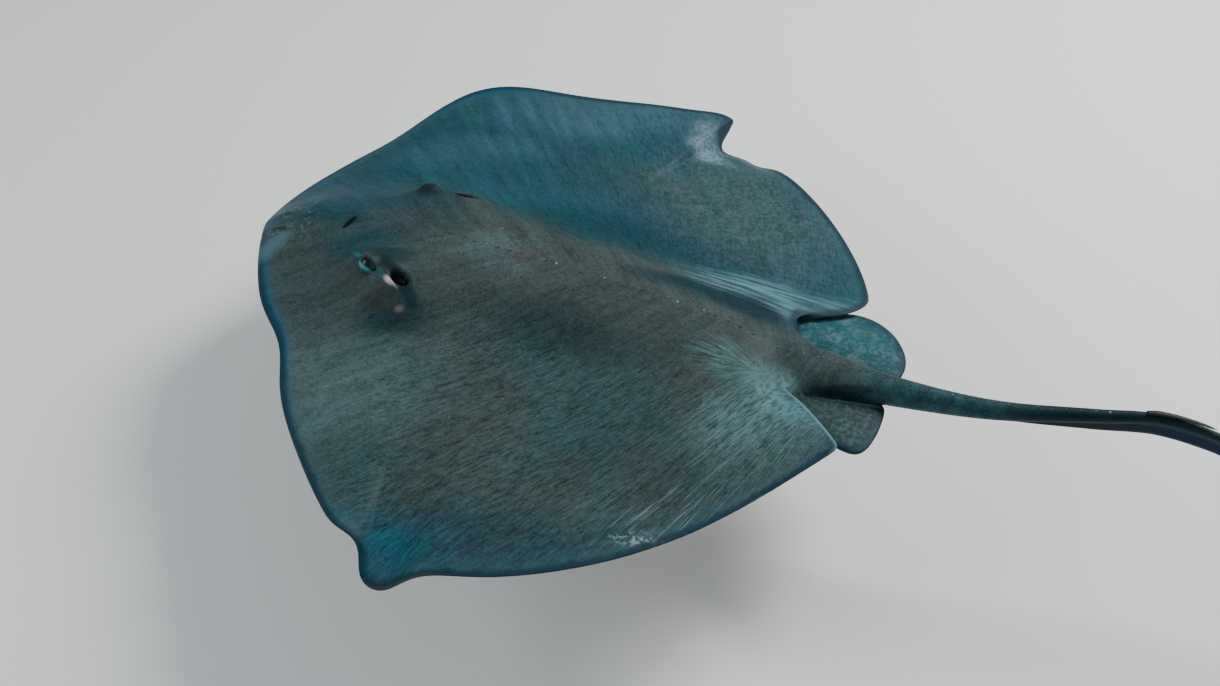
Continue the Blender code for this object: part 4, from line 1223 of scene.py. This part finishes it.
hooks = Nodes("sting_hooks", ("Spacing", "Float"), ("Hook", "Float"), ("Seed", "Int"))
heading = hooks.add("GeometryNodeInputNamedAttribute", {"Name": "heading"}, "Attribute",
                    data_type="FLOAT_VECTOR")
hook_turn = hooks.add("FunctionNodeAlignRotationToVector", {"Vector": heading}, axis="Z")
hook_size = hooks.add("ShaderNodeMath", [hooks.varied(0.75, 1.15), hooks.inputs["Hook"]],
                      operation="MULTIPLY")
hooks.finish(hooks.planted(hooks.stops(hooks.inputs["Spacing"]), hooks.spike(8, 3, 0.0, 0.36), hook_turn,
                           hook_size), bone_skin)
sting_parts = [sting]
for side, word in SIDES:
    line = np.array(blade_edges[side][8:-4])
    runs = headings(line)
    outwards = np.column_stack([-runs[:, 1], runs[:, 0], np.zeros(len(runs))]) * side
    forwards = (outwards * 0.75 - runs).astype(np.float32)
    base = edge_line("edge_" + word, line)
    base.attributes.new("heading", "FLOAT_VECTOR", "POINT").data.foreach_set("vector", forwards.ravel())
    sting_parts.append(hooks.made_on("sting_hooks_" + word, base, Spacing=0.0021, Hook=0.0020,
                                     Seed=11 + side))
for piece in sting_parts:
    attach(piece, "root")
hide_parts("sting")

# ==== Eyes =======================================================================================
# Glass eyes, one a side: a dark ball with a low bulge over the pupil, set in from behind. The pupil is a wide
# black oval in a dark iris, with a pale teal crescent of painted sheen along the iris's lower edge.
EYE_RINGS = 48
EYE_AROUND = 96
CORNEA = dict(high=0.0005, reach=0.45)
EYE_LOOSE = 0.0003
for side, word in SIDES:
    fore, brow, out = eye_axes(side)
    centre = eye_centre(side) + ON_STAND
    ball = []
    for angle in np.linspace(0, math.pi, EYE_RINGS + 1):
        radius = EYE_RADIUS - EYE_LOOSE + CORNEA["high"] * math.exp(-(angle / CORNEA["reach"]) ** 2)
        for turn in np.linspace(0, 2 * math.pi, EYE_AROUND, endpoint=False):
            sideways = fore * math.cos(turn) + brow * math.sin(turn)
            ball.append(centre + (out * math.cos(angle) + sideways * math.sin(angle)) * radius)
    eye = mesh_object("glass_eye_" + word, ball, tube_faces(EYE_RINGS + 1, EYE_AROUND, capped=False))
    glass = Finish("glass_eye_" + word, Roughness=0.22, Coat_Weight=0.15, Coat_Roughness=0.12, IOR=1.36)
    from_eye = glass.vector("SUBTRACT", glass.place(), tuple(centre))
    along, lean, ahead = (glass.vector("DOT_PRODUCT", from_eye, tuple(axis / EYE_RADIUS), output="Value")
                          for axis in (out, brow, fore))
    pupil = glass.step(glass.math("SQRT", ahead * ahead * 0.55 + lean * lean * 1.7), 0.50, 0.42)
    rays = glass.grain(glass.point(glass.math("ARCTAN2", lean, ahead) * 9.0, along * 3.0, 0.0), 2.0, 3.0, 0.6)
    # Painted sheen: a pale teal crescent along the lower edge of the iris.
    crescent = glass.step(lean, -0.20, -0.29)
    iris = glass.mix(rays, (0.004, 0.022, 0.030), (0.010, 0.045, 0.055))
    iris = glass.mix(pupil, iris, (0.0008, 0.0030, 0.0050))
    teal = glass.mix(rays, (0.010, 0.170, 0.200), (0.040, 0.330, 0.340))
    eye.data.materials.append(glass.feed(Base_Color=glass.mix(crescent, iris, teal)))
    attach(eye, "root")
    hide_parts("eye_" + word)

# ==== Stand ======================================================================================
# A turned steel foot with a satin black coat and a fine line turned near its rim, and two brushed rods.
# Each rod is screwed into the foot through a low collar and let into the belly.
BASE_LOW, BASE_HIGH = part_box("stand_base")
FOOT_ROUND = dict(below=0.0015, above=0.0040)
RIM_LINE = dict(in_from_edge=0.0108, half=0.0008, deep=0.0007)
ROD_IN_FOOT = 0.004
ROD_IN_BELLY = 0.006
COLLAR = dict(out=0.0075, high=0.0045, round=0.0015)


def turned(name, at, profile, segments=128):
    """A closed turned piece from (radius, height) pairs that start and end on its axis."""
    ring_points = []
    rings = []
    for radius, level in profile:
        first = len(ring_points)
        count = segments if radius > 0 else 1
        ring_points += [(at[0] + radius * math.cos(2 * math.pi * k / segments),
                         at[1] + radius * math.sin(2 * math.pi * k / segments), level) for k in range(count)]
        rings.append([first + k % count for k in range(segments)])
    faces = []
    for lower, upper in zip(rings, rings[1:]):
        for k in range(segments):
            quad = [lower[k], lower[(k + 1) % segments], upper[(k + 1) % segments], upper[k]]
            faces.append(tuple(dict.fromkeys(quad)))
    return mesh_object(name, ring_points, faces)


def arc(radius, level, size, start, end, count=6):
    """Part of a rounded edge: its middle, its size and the angles it starts and ends at."""
    return [(radius + size * math.cos(math.radians(a)), level + size * math.sin(math.radians(a)))
            for a in np.linspace(start, end, count)]


foot_middle = (BASE_LOW + BASE_HIGH) / 2
foot_radius = (BASE_HIGH.x - BASE_LOW.x) / 2
foot_top = BASE_HIGH.z
sole, brim = FOOT_ROUND["below"], FOOT_ROUND["above"]
line_radius = foot_radius - RIM_LINE["in_from_edge"]
foot_profile = ([(0.0, 0.0), (foot_radius - 2 * sole, 0.0)]
                + arc(foot_radius - sole, sole, sole, -90, 0, 4)
                + arc(foot_radius - brim, foot_top - brim, brim, 0, 90)
                + [(line_radius + RIM_LINE["half"], foot_top), (line_radius, foot_top - RIM_LINE["deep"]),
                   (line_radius - RIM_LINE["half"], foot_top), (0.0, foot_top)])
foot = turned("stand_foot", (foot_middle.x, foot_middle.y), foot_profile, 192)
black = Finish("satin_black", Roughness=0.42, IOR=1.5)
grit = black.grain(black.place(), 900.0, 2.0)
haze = black.grain(black.place(), 24.0, 4.0)
foot.data.materials.append(black.feed(
    Base_Color=black.mix(haze, (0.020, 0.020, 0.022), (0.032, 0.032, 0.034)),
    Roughness=haze * 0.16 + 0.36, Normal=black.bump(grit, 0.0003, 0.35)))
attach(foot, "root")
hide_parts("stand_base")

for number in (1, 2):
    low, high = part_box(f"stand_rod_{number}")
    middle = (low + high) / 2
    radius = (high.x - low.x) / 2
    rod_end = high.z + ROD_IN_BELLY
    soft = COLLAR["round"]
    rod_profile = ([(0.0, foot_top - ROD_IN_FOOT), (radius + COLLAR["out"], foot_top - ROD_IN_FOOT)]
                   + arc(radius + COLLAR["out"] - soft, foot_top + COLLAR["high"] - soft, soft, 0, 90, 4)
                   + [(radius + 0.0022, foot_top + 0.0048), (radius + 0.0006, foot_top + 0.0060),
                      (radius, foot_top + 0.0080), (radius, high.z - ROD_IN_BELLY), (radius, rod_end),
                      (0.0, rod_end)])
    rod = turned(f"stand_rod_brushed_{number}", (middle.x, middle.y), rod_profile, 64)
    steel = Finish(f"brushed_steel_{number}", Metallic=1.0, Roughness=0.28)
    sx, sy, sz = steel.parts(steel.place())
    lines = steel.grain(steel.point(sx * 40.0, sy * 40.0, sz * 2400.0), 1.0, 3.0)
    smear = steel.grain(steel.place(), 60.0, 3.0)
    rod.data.materials.append(steel.feed(
        Base_Color=steel.mix(lines, (0.50, 0.51, 0.52), (0.66, 0.67, 0.68)),
        Roughness=lines * 0.12 + smear * 0.14 + 0.16, Normal=steel.bump(lines, 0.0002, 0.3)))
    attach(rod, "root")
    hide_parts(f"stand_rod_{number}")

# ==== Floor and light ============================================================================
# A plain pale studio floor, large enough to reach behind everything in the view. A large soft key lights
# the model from above its right, with one weak fill from the other side and a pale studio all round.
FLOOR = 12
floor_mesh = bpy.data.meshes.new("floor")
floor_mesh.from_pydata([(-FLOOR, -FLOOR, 0), (FLOOR, -FLOOR, 0), (FLOOR, FLOOR, 0), (-FLOOR, FLOOR, 0)], [],
                       [(0, 1, 2, 3)])
floor = bpy.data.objects.new("floor", floor_mesh)
bpy.context.scene.collection.objects.link(floor)
cover = Finish("floor", Roughness=0.9)
cover.shader.inputs["Base Color"].default_value = (0.80, 0.82, 0.82, 1.0)
floor.data.materials.append(cover.material)


def aimed(obj, at, way):
    """Sets a lamp or the camera in its place, looking along a direction."""
    bpy.context.scene.collection.objects.link(obj)
    obj.location = at
    obj.rotation_euler = Vector(way).to_track_quat("-Z", "Y").to_euler()


def softbox(name, at, aim, size, power, colour):
    data = bpy.data.lights.new(name, "AREA")
    data.shape = "DISK"
    data.size = size
    data.energy = power
    data.color = colour
    aimed(bpy.data.objects.new(name, data), at, Vector(aim) - Vector(at))


softbox("key", (1.5, 2.0, 2.7), (0.1, 0.0, 0.2), 1.5, 135.0, (1.0, 0.98, 0.95))
softbox("fill", (-2.4, -1.9, 2.4), (0.0, 0.0, 0.2), 2.2, 48.0, (0.92, 0.97, 1.0))
world = bpy.data.worlds.new("studio")
world.use_nodes = True
sky = world.node_tree.nodes["Background"].inputs
sky["Color"].default_value = (0.90, 0.96, 1.0, 1.0)
sky["Strength"].default_value = 0.42
bpy.context.scene.world = world

# ==== Camera =====================================================================================
# It stands to the left of the model, a little behind its middle, and looks down at it at about 42
# degrees. The tail runs out of the view on the right.
CAMERA_AT = (0.71099, -1.44259, 1.58614)
CAMERA_LOOKS = (-0.29343214, 0.68386899, -0.66799759)
camera_data = bpy.data.cameras.new("camera")
camera_data.lens = 47.638
camera_data.sensor_width = 36.0
camera_data.clip_start = 0.01
camera = bpy.data.objects.new("camera", camera_data)
aimed(camera, CAMERA_AT, CAMERA_LOOKS)
bpy.context.scene.camera = camera
